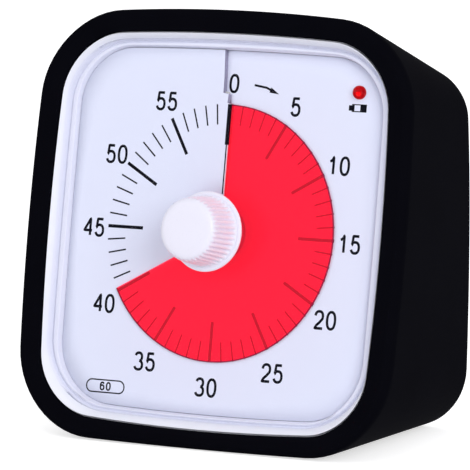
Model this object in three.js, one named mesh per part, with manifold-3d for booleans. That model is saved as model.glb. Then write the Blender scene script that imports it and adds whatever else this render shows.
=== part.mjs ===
// Visual countdown timer: a soft sleeve over a two-part case, a printed dial card cut at twelve o'clock,
// and a red film disk that a knob winds through the cut. Millimetres, +Z up, front towards -Y.
//
// Two frames are used. The case is lofted in the upright frame, with the middle of the dial at zero.
// What lies along the leaning face is drawn flat, x to the right, y up the face and z out of it.
import * as THREE from 'three';
import { mergeVertices } from 'three/addons/utils/BufferGeometryUtils.js';
import Module from 'manifold-3d';

const wasm = await Module();
wasm.setup();

// Stance
const face_lean_degrees = 9.6;

// Fits
const fit_gap = 0.3;
const cut_overrun = 1;

// Spindle, hub and bush
const spindle_radius = 2;
const hub_radius = 5.2;
const bush_radius = 4.3;
const bush_flange_width = 1.7;
const bush_flange_thickness = 0.8;

// Film disk
const hour_minutes = 60;
const film_minutes = 40;
const film_radius = 28;
const film_thickness = 0.25;
const film_hub_gap = 0.4;

// Dial card
const dial_side_margin = 10;
const dial_end_margin = 12;
const dial_corner = 13.5;
const dial_bow = 0.6;
const card_thickness = 0.5;
const card_hole_margin = 0.6;
const cut_climb = 1.2;
const cut_width = 0.12;
const cut_reach = 2.6;
const cut_jog = 1.3;
const cut_jog_end = 2.2;
const jog_fade_share = 0.08;

// Tray behind the card
const tray_clearance = 1.5;
const tray_floor = 1.5;
const tray_hub_wall = 2.8;
const tray_cut_width = 0.5;

// Hard case and bezel
const case_wall = 2;
const parting_share = 0.3;
const bezel_side_width = 3.3;
const bezel_end_width = 3;
const bezel_crest = 4.1;
const bezel_groove_height = 1.66;
const bezel_groove_run = 1.56;
const bezel_groove_width = 0.45;
const bezel_groove_depth = 0.4;
const bezel_skirt_width = 1.9;
const bezel_skirt_depth = 2;
const bezel_underside = 0.7;

// Opening of the sleeve
const opening_corner = 16.5;
const opening_bow = 1;
const opening_rise = 0.3;

// Soft sleeve
const sleeve_wall = 2;
const lip_side_width = 5.4;
const lip_top_width = 4.8;
const lip_foot_width = 3.75;
const lip_height = 5;
const lip_inner_height = 4.2;
const lip_underside = 3;
const lip_crown_inset = 2;
const lip_round = 0.5;
const lip_shoulder_height = 4.4;
const face_top_corner = 17.5;
const face_bottom_corner = 14.5;
const face_side_bow = 1.9;
const face_top_bow = 2.1;
const back_top = 34.6;
const back_corner = 12;
const back_bow = 0.9;
const sleeve_window_margin = 4.5;
const sleeve_back_round = 1;

// Lens
const lens_thickness = 1.1;

// Knob
const knob_flange_radius = 8.7;
const knob_flange_thickness = 2;
const knob_front = 13.7;
const knob_cap_radius = 6.9;
const knob_root_radius = 7.5;
const knob_edge_round = 0.9;
const knob_rib_count = 60;
const knob_rib_depth = 0.28;
const knob_bore_depth = 6;

// Gear train
const gear_teeth = 36;
const pinion_leaves = 6;
const rotor_leaves = 12;
const drive_module = 0.8;
const third_module = 0.6;
const fourth_module = 0.46;
const rotor_direction_degrees = 240;
const tooth_root_share = 0.5;
const tooth_tip_share = 0.22;
const addendum_share = 0.8;
const dedendum_share = 1.15;
const wheel_thickness = 1.2;
const thin_wheel_thickness = 0.9;
const arbor_radius = 0.8;

// Slip clutch
const shoulder_radius = 3.4;
const shoulder_thickness = 0.8;
const clutch_radius = 4.6;
const clutch_thickness = 0.7;
const collar_radius = 3.6;
const collar_thickness = 1.5;

// Movement frame
const plate_thickness = 1.5;
const plate_corner = 3;
const plate_margin = 2.36;
const pillar_radius = 2.6;
const pillar_edge = 0.8;

// Stepping motor
const magnet_radius = 3.2;
const magnet_thickness = 1.6;
const stator_thickness = 1;
const stator_hole_gap = 0.5;
const yoke_rim = 3;
const yoke_strip = 1.25;
const yoke_margin = 1.2;
const yoke_clearance = 1.3;
const yoke_leg_width = 4.5;
const yoke_leg_height = 14.6;
const core_width = 3.2;
const winding_radius = 2.6;
const winding_end_gap = 1;

// Power
const cell_radius = 7.25;
const cell_length = 50.5;
const cell_nub_radius = 2.75;
const cell_nub_length = 1;
const bay_wall = 1.5;
const spring_length = 3.1;
const spring_wire_radius = 0.3;
const spring_turns = 2.5;
const spring_big_radius = 3.6;
const spring_small_radius = 2.2;
const contact_thickness = 0.4;
const contact_height = 9;
const contact_tab_width = 3;
const contact_tab_length = 1.6;
const door_thickness = 1.2;
const door_margin = 2.2;
const door_notch_radius = 4;

// Electronics
const movement_board_gap = 7.36;
const board_thickness = 1.6;
const board_height = 28;
const board_centre_height = 6;
const board_side_gap = 3.8;
const board_standoff = 7.8;
const standoff_inset = 3;
const buzzer_radius = 6.5;
const buzzer_port_radius = 1.2;
const buzzer_x = -12;
const switch_x = 15;
const switch_rise = 5;
const switch_body_width = 9;
const switch_body_height = 4.6;
const switch_body_depth = 4.6;
const slider_width = 3.4;
const slider_height = 2.2;
const slider_travel = 4;
const slider_proud = 1;
const sound_hole_radius = 1.1;
const sound_hole_ring = 3.6;
const sound_hole_count = 6;
const led_radius = 1.5;
const led_flange_radius = 1.9;
const led_flange_thickness = 0.9;
const led_side_inset = 5.6;
const led_top_inset = 6.8;
const led_top = 1.5;
const lead_radius = 0.55;

// Fasteners
const boss_radius = 3.5;
const boss_cap = 0.8;
const boss_rib_width = 2;
const boss_plate_gap = 2.4;
const well_wall = 1.2;
const well_drop = 11.6;
const screw_radius = 1.3;
const screw_head_radius = 2.6;
const screw_head_height = 1.8;
const small_screw_radius = 0.9;
const small_head_radius = 1.9;
const small_head_height = 1.2;

// Facets
const corner_steps = 5;
const edge_steps = 4;
const round_sides = 24;
const knob_sides = 32;
const small_sides = 12;
const hidden_sides = 16;
const arbor_sides = 8;
const hole_sides = 6;
const card_steps = 50;
const tray_steps = 32;
const film_steps = 40;
const arc_steps = 3;
const lead_steps = 10;
const lead_sides = 6;
const spring_steps_per_turn = 8;
const spring_sides = 5;

const lean = THREE.MathUtils.degToRad(face_lean_degrees);
const lean_sin = Math.sin(lean);
const lean_cos = Math.cos(lean);
const full_turn = 2 * Math.PI;

// Geometry helpers

function solidOf(geometry) {
  const bare = new THREE.BufferGeometry();
  bare.setAttribute('position', geometry.getAttribute('position').clone());
  if (geometry.index) bare.setIndex(geometry.index.clone());
  const merged = mergeVertices(bare);
  return new wasm.Manifold(new wasm.Mesh({
    numProp: 3,
    vertProperties: new Float32Array(merged.getAttribute('position').array),
    triVerts: new Uint32Array(merged.index.array),
  }));
}

function geometryOf(solid) {
  const shape = solid.getMesh();
  const geometry = new THREE.BufferGeometry();
  geometry.setAttribute('position', new THREE.BufferAttribute(shape.vertProperties, 3));
  geometry.setIndex(new THREE.BufferAttribute(shape.triVerts, 1));
  return geometry;
}

function join(first, ...others) {
  return geometryOf(others.reduce((sum, item) => sum.add(solidOf(item)), solidOf(first)));
}

function cut(first, ...others) {
  return geometryOf(others.reduce((rest, item) => rest.subtract(solidOf(item)), solidOf(first)));
}

function common(first, second) {
  return geometryOf(solidOf(first).intersect(solidOf(second)));
}

// A closed skin from points and faces, turned so that its faces point out
function skinOf(points, faces) {
  let volume = 0;
  for (const [a, b, c] of faces) {
    volume += points[a].dot(new THREE.Vector3().crossVectors(points[b], points[c]));
  }
  const index = faces.flatMap(([a, b, c]) => (volume < 0 ? [a, c, b] : [a, b, c]));
  const geometry = new THREE.BufferGeometry();
  geometry.setAttribute('position', new THREE.Float32BufferAttribute(points.flatMap((p) => p.toArray()), 3));
  geometry.setIndex(index);
  return geometry;
}

function bandFaces(rings, count, closed) {
  const faces = [];
  const last = closed ? rings : rings - 1;
  for (let ring = 0; ring < last; ring++) {
    const next = (ring + 1) % rings;
    for (let k = 0; k < count; k++) {
      const a = ring * count + k;
      const b = ring * count + ((k + 1) % count);
      const c = next * count + ((k + 1) % count);
      const d = next * count + k;
      faces.push([a, b, c], [a, c, d]);
    }
  }
  return faces;
}

// A frame-like skin: each ring is joined to the next and the last to the first
function ringSkin(rings) {
  return skinOf(rings.flat(), bandFaces(rings.length, rings[0].length, true));
}

// A lofted solid with a flat end on its first and last ring
function loft(rings) {
  const count = rings[0].length;
  const points = rings.flat();
  const faces = bandFaces(rings.length, count, false);
  const ends = [rings[0], rings[rings.length - 1]].map((ring) => {
    const middle = ring.reduce((sum, p) => sum.add(p), new THREE.Vector3()).divideScalar(count);
    points.push(middle);
    return points.length - 1;
  });
  const start = (rings.length - 1) * count;
  for (let k = 0; k < count; k++) {
    const next = (k + 1) % count;
    faces.push([ends[0], next, k], [ends[1], start + k, start + next]);
  }
  return skinOf(points, faces);
}

function disc(radius, from, to, x = 0, y = 0, sides = round_sides) {
  const geometry = new THREE.CylinderGeometry(radius, radius, Math.abs(to - from), sides);
  geometry.rotateX(Math.PI / 2);
  geometry.translate(x, y, (from + to) / 2);
  return geometry;
}

function block(x, y, z) {
  const geometry = new THREE.BoxGeometry(x[1] - x[0], y[1] - y[0], z[1] - z[0]);
  geometry.translate((x[0] + x[1]) / 2, (y[0] + y[1]) / 2, (z[0] + z[1]) / 2);
  return geometry;
}

// A revolved solid about z, from a profile of radius and height that starts and ends on the axis
function turned(profile, sides = round_sides) {
  const points = profile.map(([radius, height]) => new THREE.Vector2(radius, height));
  const geometry = new THREE.LatheGeometry(points, sides);
  geometry.rotateX(Math.PI / 2);
  return skinFrom(geometry);
}

// The same skin with shared corners, without empty faces, and facing out
function skinFrom(geometry) {
  const bare = new THREE.BufferGeometry();
  bare.setAttribute('position', geometry.getAttribute('position').clone());
  if (geometry.index) bare.setIndex(geometry.index.clone());
  const merged = mergeVertices(bare);
  const position = merged.getAttribute('position');
  const points = [];
  for (let k = 0; k < position.count; k++) points.push(new THREE.Vector3().fromBufferAttribute(position, k));
  const faces = [];
  for (let k = 0; k < merged.index.count; k += 3) {
    const face = [0, 1, 2].map((corner) => merged.index.getX(k + corner));
    if (new Set(face).size === 3) faces.push(face);
  }
  return skinOf(points, faces);
}

function prism(shape, from, to) {
  const geometry = new THREE.ExtrudeGeometry(shape, { depth: to - from, bevelEnabled: false, steps: 1 });
  geometry.translate(0, 0, from);
  return skinFrom(geometry);
}

function polygon(points) {
  return new THREE.Shape(points.map(([x, y]) => new THREE.Vector2(x, y)));
}

function roundedRectangle(left, right, bottom, top, radius) {
  const corners = [[right, top, 0], [left, top, 1], [left, bottom, 2], [right, bottom, 3]];
  const points = [];
  for (const [x, y, quarter] of corners) {
    const cx = x - Math.sign(x - (left + right) / 2) * radius;
    const cy = y - Math.sign(y - (bottom + top) / 2) * radius;
    for (let k = 0; k <= arc_steps; k++) {
      const angle = (quarter + k / arc_steps) * Math.PI / 2;
      points.push([cx + radius * Math.cos(angle), cy + radius * Math.sin(angle)]);
    }
  }
  return polygon(points);
}

function ringOutline(radius, sides = small_sides) {
  const points = [];
  for (let k = 0; k < sides; k++) {
    const angle = full_turn * k / sides;
    points.push([radius * Math.cos(angle), radius * Math.sin(angle)]);
  }
  return points;
}

// A wire or tube of round section along a smooth curve through the points
function tube(points, radius, steps, sides) {
  const path = new THREE.CatmullRomCurve3(points.map((p) => new THREE.Vector3(...p)));
  const shape = polygon(ringOutline(radius, sides));
  return skinFrom(new THREE.ExtrudeGeometry(shape, { steps, extrudePath: path, bevelEnabled: false }));
}

// Film, card, opening and case, each round the one before
const film_inner_radius = hub_radius + film_hub_gap;
const card_hole_radius = film_inner_radius + card_hole_margin;
const cut_jog_radius = film_radius + cut_reach;
const dial_half_width = film_radius + dial_side_margin;
const dial_half_height = film_radius + dial_end_margin;
const opening_half_width = dial_half_width + bezel_side_width;
const opening_half_height = dial_half_height + bezel_end_width;
const face_half_width = opening_half_width + lip_side_width;
const face_top = opening_half_height + opening_rise + lip_top_width;
const dial_height = (opening_half_height - opening_rise + lip_foot_width) * lean_cos;

// Heights along the face normal, zero on the middle of the card
const tray_top = -(cut_climb + film_thickness / 2 + 2 * fit_gap) - fit_gap;
const floor_top = -bezel_skirt_depth - fit_gap;
const floor_bottom = floor_top - tray_floor;
const boss_top = floor_bottom - fit_gap;
const lens_back = bezel_groove_height + fit_gap;
const lens_front = lens_back + lens_thickness;
const flange_back = lens_front + fit_gap;
const flange_front = flange_back + knob_flange_thickness;
const plate_front = floor_bottom - bush_flange_thickness - 2 * fit_gap;
const plate_back = plate_front - plate_thickness;
const shoulder_back = plate_back - fit_gap - shoulder_thickness;
const drive_front = shoulder_back - fit_gap;
const drive_back = drive_front - wheel_thickness;
const clutch_back = drive_back - fit_gap - clutch_thickness;
const collar_back = clutch_back - fit_gap - collar_thickness;
const third_front = drive_back - 2 * fit_gap;
const third_back = third_front - thin_wheel_thickness;
const fourth_front = third_back - 2 * fit_gap;
const fourth_back = fourth_front - thin_wheel_thickness;
const magnet_front = fourth_back - 2 * fit_gap;
const magnet_back = magnet_front - magnet_thickness;
const stator_front = magnet_front - fit_gap;
const stator_back = stator_front - stator_thickness;
const core_back = stator_front + fit_gap;
const core_front = core_back + stator_thickness;
const core_middle = (core_back + core_front) / 2;
const rear_plate_front = core_middle - winding_radius - fit_gap;
const rear_plate_back = rear_plate_front - plate_thickness;
const arbor_front = plate_front - fit_gap;
const arbor_back = rear_plate_back + fit_gap;
const spindle_front = flange_back + knob_bore_depth - fit_gap;
const spindle_back = rear_plate_back - fit_gap;

// Places of the wheels, each in mesh with the one before
const third_reach = (gear_teeth + pinion_leaves) * drive_module / 2;
const fourth_reach = (gear_teeth + pinion_leaves) * third_module / 2;
const rotor_reach = (gear_teeth + rotor_leaves) * fourth_module / 2;
const rotor_direction = THREE.MathUtils.degToRad(rotor_direction_degrees);
const third_place = [0, third_reach];
const fourth_place = [-fourth_reach, third_reach];
const rotor_place = [
  fourth_place[0] + rotor_reach * Math.cos(rotor_direction),
  fourth_place[1] + rotor_reach * Math.sin(rotor_direction),
];

// Plates of the movement, round the wheels and the motor's yoke
const drive_tip = (gear_teeth / 2 + addendum_share) * drive_module;
const third_tip = (gear_teeth / 2 + addendum_share) * third_module;
const yoke_left = rotor_place[0] - magnet_radius - stator_hole_gap - yoke_rim;
const yoke_right = -spindle_radius - yoke_clearance;
const plate_left = yoke_left - yoke_margin;
const plate_right = drive_tip + plate_margin;
const plate_bottom = -drive_tip - plate_margin;
const plate_top = third_place[1] + third_tip + plate_margin;
const pillar_inset = pillar_radius + pillar_edge;
const pillar_places = [
  [plate_left + pillar_inset, plate_top - pillar_inset],
  [plate_right - pillar_inset, plate_top - pillar_inset],
  [plate_right - pillar_inset, plate_bottom + pillar_inset],
];

// Depths behind the dial in the upright frame, from the movement back to the outside of the case
const board_front = plate_top * lean_sin - rear_plate_back * lean_cos + movement_board_gap;
const board_back = board_front + board_thickness;
const wall_inside = board_back + fit_gap + board_standoff;
const wall_outside = wall_inside + case_wall;
const back_depth = wall_outside + fit_gap + sleeve_wall;

// Cell bay and door along the foot of the back wall
const bay_half_length = cell_length / 2 + spring_length / 2 + contact_thickness + fit_gap;
const bay_floor = -dial_height + sleeve_wall + fit_gap + case_wall + bay_wall;
const bay_bottom = bay_floor + fit_gap;
const bay_top = bay_bottom + 2 * (cell_radius + fit_gap);
const cell_height = (bay_bottom + bay_top) / 2;
const door_inside = wall_outside - door_thickness;
const cell_depth = door_inside - 2 * fit_gap - cell_radius;
const bay_front = cell_depth - cell_radius - fit_gap;
const door_half_length = bay_half_length + door_margin;
const door_bottom = bay_bottom - door_margin / 2;
const door_top = bay_top + door_margin / 2;

// Housing screws, square to the face, beside the plates and clear of the door
const well_radius = screw_head_radius + fit_gap;
const boss_x = -plate_left + boss_plate_gap + boss_radius;
const upper_well = back_top - sleeve_window_margin - well_drop;
const lower_well = door_top + fit_gap + case_wall + well_radius;
const boss_places = [
  [boss_x, faceHeight(upper_well)],
  [-boss_x, faceHeight(upper_well)],
  [-boss_x, faceHeight(lower_well)],
  [boss_x, faceHeight(lower_well)],
];
const back_half_width = boss_x + well_radius + fit_gap + sleeve_window_margin;

// Control board between the screw wells, and the lamp at the corner of the dial
const board_half_width = boss_x - well_radius - well_wall - board_side_gap;
const board_low = board_centre_height - board_height / 2;
const board_high = board_centre_height + board_height / 2;
const standoff_places = [
  [-board_half_width + standoff_inset, board_high - standoff_inset],
  [board_half_width - standoff_inset, board_low + standoff_inset],
];
const switch_height = board_centre_height + switch_rise;
const led_x = dial_half_width - led_side_inset;
const led_y = dial_half_height - led_top_inset;

// Height on the face of a line square to it that leaves the back wall at this height
function faceHeight(height) {
  return height * lean_cos + wall_outside * lean_sin;
}

// Outlines of the case

const back_size = {
  half_width: back_half_width, top: back_top, bottom: dial_height, top_corner: back_corner,
  bottom_corner: back_corner, side_bow: back_bow, top_bow: back_bow, bottom_bow: 0,
};
const opening_size = {
  half_width: opening_half_width, top: opening_half_height, bottom: opening_half_height,
  top_corner: opening_corner, bottom_corner: opening_corner,
  side_bow: opening_bow, top_bow: opening_bow, bottom_bow: 0,
};
const dial_size = {
  half_width: dial_half_width, top: dial_half_height, bottom: dial_half_height,
  top_corner: dial_corner, bottom_corner: dial_corner, side_bow: dial_bow, top_bow: dial_bow, bottom_bow: 0,
};

// The outer outline of the case in the plane at height z of the face; it stands flat on the table
function faceSize(z) {
  return {
    half_width: face_half_width, top: face_top, bottom: (dial_height + z * lean_sin) / lean_cos,
    top_corner: face_top_corner, bottom_corner: face_bottom_corner,
    side_bow: face_side_bow, top_bow: face_top_bow, bottom_bow: 0,
  };
}

// A rectangle with round corners whose sides bow out, as x and y points anticlockwise
function bowedOutline(size, inset = 0) {
  const half = size.half_width - inset;
  const top = size.top - inset;
  const bottom = size.bottom - inset;
  const top_radius = size.top_corner - inset;
  const bottom_radius = size.bottom_corner - inset;
  const corners = [[1, top, top_radius, 0], [-1, top, top_radius, 1],
    [-1, -bottom, bottom_radius, 2], [1, -bottom, bottom_radius, 3]];
  const arcs = corners.map(([side, limit, radius, quarter]) => {
    const cx = side * (half - radius);
    const cy = limit - Math.sign(limit) * radius;
    const points = [];
    for (let k = 0; k <= corner_steps; k++) {
      const angle = (quarter + k / corner_steps) * Math.PI / 2;
      points.push([cx + radius * Math.cos(angle), cy + radius * Math.sin(angle)]);
    }
    return points;
  });
  const outline = [];
  arcs.forEach((arc, n) => {
    outline.push(...arc);
    const from = arc[arc.length - 1];
    const to = arcs[(n + 1) % 4][0];
    for (let k = 1; k < edge_steps; k++) {
      const share = k / edge_steps;
      outline.push([from[0] + (to[0] - from[0]) * share, from[1] + (to[1] - from[1]) * share]);
    }
  });
  return outline.map(([x, y]) => {
    const up = y > 0 ? y / top : y / bottom;
    const across = x / half;
    const side = size.side_bow * up * up * across;
    const crown = y > 0 ? size.top_bow * across * across * up : size.bottom_bow * across * across * up;
    return [x - side, y - crown];
  });
}

// The outline of the dial with this inset, in its place on the face
function dialOutline(inset) {
  return bowedOutline(dial_size, inset).map(([x, y]) => [x, y + opening_rise]);
}

// A point of the leaning face, in the upright frame
function onFace(x, y, z) {
  return new THREE.Vector3(x, y * lean_sin - z * lean_cos, y * lean_cos + z * lean_sin);
}

function frontRing(z, inset) {
  return bowedOutline(faceSize(z), inset).map(([x, y]) => onFace(x, y, z));
}

function backRing(depth, inset) {
  return bowedOutline(back_size, inset).map(([x, z]) => new THREE.Vector3(x, depth, z));
}

// A ring of the wall between the front plane of the case and its back, at a share of the way
function wallRing(share, inset) {
  const front = frontRing(lip_underside, inset);
  const back = backRing(back_depth - inset, inset);
  return front.map((point, k) => point.clone().lerp(back[k], share));
}

function openingRing(z, inset) {
  return bowedOutline(opening_size, inset).map(([x, y]) => onFace(x, y + opening_rise, z));
}

function dialRing(z, inset) {
  return dialOutline(inset).map(([x, y]) => onFace(x, y, z));
}

// Height on the face of the line where the two housings part
function partingHeight() {
  const heights = wallRing(parting_share, sleeve_wall).map((p) => p.z * lean_sin - p.y * lean_cos);
  return heights.reduce((sum, height) => sum + height, 0) / heights.length;
}

// Materials
const colours = {
  rubber: 0x0f0f13, case_white: 0xdcdde8, dial: 0xe8ecff, clear: 0xf4f8ff, film: 0xff2640, knob: 0xf2f1ff,
  inner_white: 0xd8d8d4, steel: 0xb8bcc2, brass: 0xc8a04a, copper: 0xb0603a, board: 0x1f6b3a,
  black: 0x18181a, led: 0xcf1008, cell: 0x3a5f8a, red: 0xb01818, natural: 0xe6e2d4,
};

function finish(colour, roughness, metalness = 0) {
  return new THREE.MeshStandardMaterial({ color: colours[colour], roughness, metalness });
}

const timer = new THREE.Group();
const face = new THREE.Group();
face.rotation.x = Math.PI / 2 - lean;
timer.add(face);

function put(group, name, geometry, material) {
  const mesh = new THREE.Mesh(geometry, material);
  mesh.name = name;
  group.add(mesh);
}

// A piece drawn in the face frame, turned into the upright frame
function upright(geometry) {
  geometry.rotateX(Math.PI / 2 - lean);
  return geometry;
}

function placed(geometry, [x, y]) {
  geometry.translate(x, y, 0);
  return geometry;
}

// Discs of one radius and height range at several places, as pillars or as holes
function discsAt(places, radius, from, to, sides = small_sides) {
  return places.map(([x, y]) => disc(radius, from, to, x, y, sides));
}

// A disc along the depth of the case, in the upright frame
function bar(radius, from, to, x, z, sides = small_sides) {
  const geometry = new THREE.CylinderGeometry(radius, radius, to - from, sides);
  geometry.translate(x, (from + to) / 2, z);
  return geometry;
}

// A screw along z: a flat head, whose seat faces the tip, and a plain shank
function screwShape(head_radius, head_height, shank_radius, seat, tip) {
  const head = seat - Math.sign(tip - seat) * head_height;
  return turned([[0, head], [head_radius, head], [head_radius, seat], [shank_radius, seat],
    [shank_radius, tip], [0, tip]], small_sides);
}

// Soft sleeve: one lofted skin with a front opening and a window in its back
function makeSleeve() {
  const inner_back = back_depth - sleeve_wall;
  const rings = [
    openingRing(lip_underside, 0),
    openingRing(lip_inner_height, 0),
    frontRing(lip_height, lip_crown_inset),
    frontRing(lip_shoulder_height, lip_round),
    frontRing(lip_underside, 0),
    wallRing(1 - sleeve_back_round / back_depth, 0),
    backRing(back_depth, sleeve_back_round),
    backRing(back_depth, sleeve_window_margin),
    backRing(inner_back, sleeve_window_margin),
    backRing(inner_back, sleeve_wall),
    frontRing(lip_underside, sleeve_wall),
  ];
  put(timer, 'silicone_cover', ringSkin(rings), finish('rubber', 0.55));
}

// Front housing: a bezel with two sloped bands, a skirt round the card, and ribbed screw bosses
function makeFrontHousing() {
  const outer = sleeve_wall + fit_gap;
  const inner = outer + case_wall;
  const shoulder = lip_underside - fit_gap;
  const groove = -bezel_groove_run;
  const rings = [
    wallRing(parting_share, outer),
    frontRing(shoulder, outer),
    openingRing(shoulder, fit_gap),
    openingRing(bezel_crest, fit_gap),
    dialRing(bezel_groove_height + bezel_groove_depth, groove - bezel_groove_width),
    dialRing(bezel_groove_height - bezel_groove_depth, groove - bezel_groove_width / 2),
    dialRing(bezel_groove_height, groove),
    dialRing(0, 0),
    dialRing(-bezel_skirt_depth, 0),
    dialRing(-bezel_skirt_depth, -bezel_skirt_width),
    dialRing(0, -bezel_skirt_width),
    frontRing(bezel_underside, inner),
    wallRing(parting_share, inner),
  ];
  const middle_of_wall = outer + case_wall / 2;
  const inside = loft([wallRing(parting_share, middle_of_wall),
    frontRing(bezel_underside, middle_of_wall)]);
  const boss_back = partingHeight();
  const bosses = discsAt(boss_places, boss_radius, boss_back, boss_top);
  const ribs = boss_places.map(([x, y]) => block(
    [Math.min(x, Math.sign(x) * face_half_width), Math.max(x, Math.sign(x) * face_half_width)],
    [y - boss_rib_width / 2, y + boss_rib_width / 2], [boss_back, boss_top]));
  const supports = [...bosses, ...ribs].map((piece) => common(upright(piece), inside));
  const pilots = discsAt(boss_places, screw_radius + fit_gap, boss_back - cut_overrun, boss_top - boss_cap,
    arbor_sides).map(upright);
  const housing = cut(join(ringSkin(rings), ...supports), ...pilots);
  put(timer, 'front_housing', housing, finish('case_white', 0.4));
}

function soundHoles() {
  const places = [[0, 0]];
  for (let k = 0; k < sound_hole_count; k++) {
    const angle = full_turn * k / sound_hole_count;
    places.push([sound_hole_ring * Math.cos(angle), sound_hole_ring * Math.sin(angle)]);
  }
  return places.map(([x, z]) => bar(sound_hole_radius, wall_inside - cut_overrun,
    wall_outside + cut_overrun, x + buzzer_x, z + board_centre_height, hole_sides));
}

// Rear housing: a cup with a cell bay, sound holes, a switch slot, standoffs and screw wells
function makeRearHousing() {
  const outer = sleeve_wall + fit_gap;
  const inner = outer + case_wall;
  const start = parting_share + fit_gap / back_depth;
  const shell = loft([wallRing(start, outer), wallRing(1, outer)]);
  const hollow = loft([wallRing(start - parting_share / 2, inner), wallRing(1, inner)]);
  const middle_of_wall = wall_inside + case_wall / 2;
  const bay_outside = block(
    [-bay_half_length - bay_wall, bay_half_length + bay_wall],
    [bay_front - bay_wall, middle_of_wall],
    [bay_floor - bay_wall, bay_top + bay_wall],
  );
  const bay_hollow = block([-bay_half_length, bay_half_length], [bay_front, wall_outside + cut_overrun],
    [bay_bottom, bay_top]);
  const door_recess = block([-door_half_length - fit_gap, door_half_length + fit_gap],
    [door_inside - fit_gap, wall_outside + cut_overrun], [door_bottom - fit_gap, door_top + fit_gap]);
  const tab_depth = contact_thickness + 2 * fit_gap;
  const tabSlot = (left) => block([left, left + tab_depth],
    [bay_front - bay_wall - cut_overrun, bay_front + cut_overrun],
    [cell_height - contact_tab_width / 2 - fit_gap, cell_height + contact_tab_width / 2 + fit_gap]);
  const slot = block(
    [switch_x - slider_width / 2 - fit_gap, switch_x + slider_width / 2 + slider_travel + fit_gap],
    [wall_inside - cut_overrun, wall_outside + cut_overrun],
    [switch_height - slider_height / 2 - fit_gap, switch_height + slider_height / 2 + fit_gap]);
  const standoffs = standoff_places.map(([x, z]) => bar(pillar_radius, board_back + fit_gap,
    middle_of_wall, x, z));
  const pilots = standoff_places.map(([x, z]) => bar(small_screw_radius + fit_gap,
    board_back - cut_overrun, wall_inside, x, z));

  const well_front = partingHeight() - fit_gap;
  const well_back = well_front - 2 * back_depth;
  const seat = well_front - screw_head_height;
  const tubes = discsAt(boss_places, well_radius + well_wall, well_back, well_front, arbor_sides)
    .map((tube) => common(upright(tube), shell));
  const wells = discsAt(boss_places, well_radius, well_back, seat, small_sides).map(upright);
  const passes = discsAt(boss_places, screw_radius + fit_gap, well_back, well_front + cut_overrun,
    arbor_sides).map(upright);
  const cup = join(cut(shell, hollow), ...tubes, ...standoffs, common(bay_outside, shell));
  const housing = cut(cup, bay_hollow, door_recess, tabSlot(-bay_half_length),
    tabSlot(bay_half_length - tab_depth), slot, ...soundHoles(), ...pilots, ...wells, ...passes);
  put(timer, 'rear_housing', housing, finish('case_white', 0.45));

  boss_places.forEach((place, n) => {
    const screw = screwShape(screw_head_radius, screw_head_height, screw_radius, seat - fit_gap,
      boss_top - boss_cap - fit_gap);
    put(face, `housing_screw_${n + 1}`, placed(screw, place), finish('steel', 0.35, 1));
  });
}

// Lens: a clear plate whose bevelled edge follows the upper band of the bezel
function makeLens() {
  const slope = (opening_half_width - fit_gap - dial_half_width - bezel_groove_run)
    / (bezel_crest - bezel_groove_height);
  const back_inset = fit_gap - bezel_groove_run;
  const front_inset = back_inset - slope * lens_thickness;
  const flat = (inset, z) => dialOutline(inset).map(([x, y]) => new THREE.Vector3(x, y, z));
  const plate = loft([flat(back_inset, lens_back), flat(front_inset, lens_front)]);
  const hole = disc(hub_radius + 2 * fit_gap, lens_back - cut_overrun, lens_front + cut_overrun);
  put(face, 'lens', cut(plate, hole), finish('clear', 0.05));
}

// Distance from the middle of the dial to its outline, along a direction clockwise from twelve
function dialReach(angle, inset) {
  const outline = dialOutline(inset);
  const dx = Math.sin(angle);
  const dy = Math.cos(angle);
  let reach = 0;
  outline.forEach(([ax, ay], k) => {
    const [bx, by] = outline[(k + 1) % outline.length];
    const ex = bx - ax;
    const ey = by - ay;
    const across = ex * dy - ey * dx;
    const share = (dx * ay - dy * ax) / across;
    if (share < 0 || share > 1) return;
    reach = Math.max(reach, dx * (ax + share * ex) + dy * (ay + share * ey));
  });
  return reach;
}

// A turn of a screw surface with two ends: column(turn) gives the radius and aim of each band edge, and
// low(turn) and high(turn) the heights of its two faces
function spiralSheet({ steps, from, to, column, low, high }) {
  const points = [];
  const bands = column(from).length;
  for (let k = 0; k <= steps; k++) {
    const turn = from + (to - from) * k / steps;
    for (const level of [low, high]) {
      for (const [radius, aim] of column(turn)) {
        points.push(new THREE.Vector3(radius * Math.sin(aim), radius * Math.cos(aim), level(turn)));
      }
    }
  }
  const at = (k, side, n) => (2 * k + side) * bands + n;
  const faces = [];
  const quad = (a, b, c, d) => faces.push([a, b, c], [a, c, d]);
  for (let k = 0; k < steps; k++) {
    for (let n = 0; n < bands - 1; n++) {
      quad(at(k, 1, n), at(k, 1, n + 1), at(k + 1, 1, n + 1), at(k + 1, 1, n));
      quad(at(k, 0, n), at(k + 1, 0, n), at(k + 1, 0, n + 1), at(k, 0, n + 1));
    }
    quad(at(k, 0, 0), at(k, 1, 0), at(k + 1, 1, 0), at(k + 1, 0, 0));
    quad(at(k, 0, bands - 1), at(k + 1, 0, bands - 1), at(k + 1, 1, bands - 1), at(k, 1, bands - 1));
  }
  for (let n = 0; n < bands - 1; n++) {
    quad(at(0, 0, n), at(0, 0, n + 1), at(0, 1, n + 1), at(0, 1, n));
    quad(at(steps, 0, n), at(steps, 1, n), at(steps, 1, n + 1), at(steps, 0, n + 1));
  }
  return skinOf(points, faces);
}

// Half of the cut's width, as a share of a turn at the film's edge
function cutShare(width) {
  return width / full_turn / film_radius;
}

// Sideways run of the cut outside its jog, which fades out round the card
function jogAim(turn, jog, radius) {
  const fade = Math.max(0, 1 - Math.min(turn, 1 - turn) / jog_fade_share);
  return turn * full_turn - jog * fade / radius;
}

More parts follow.
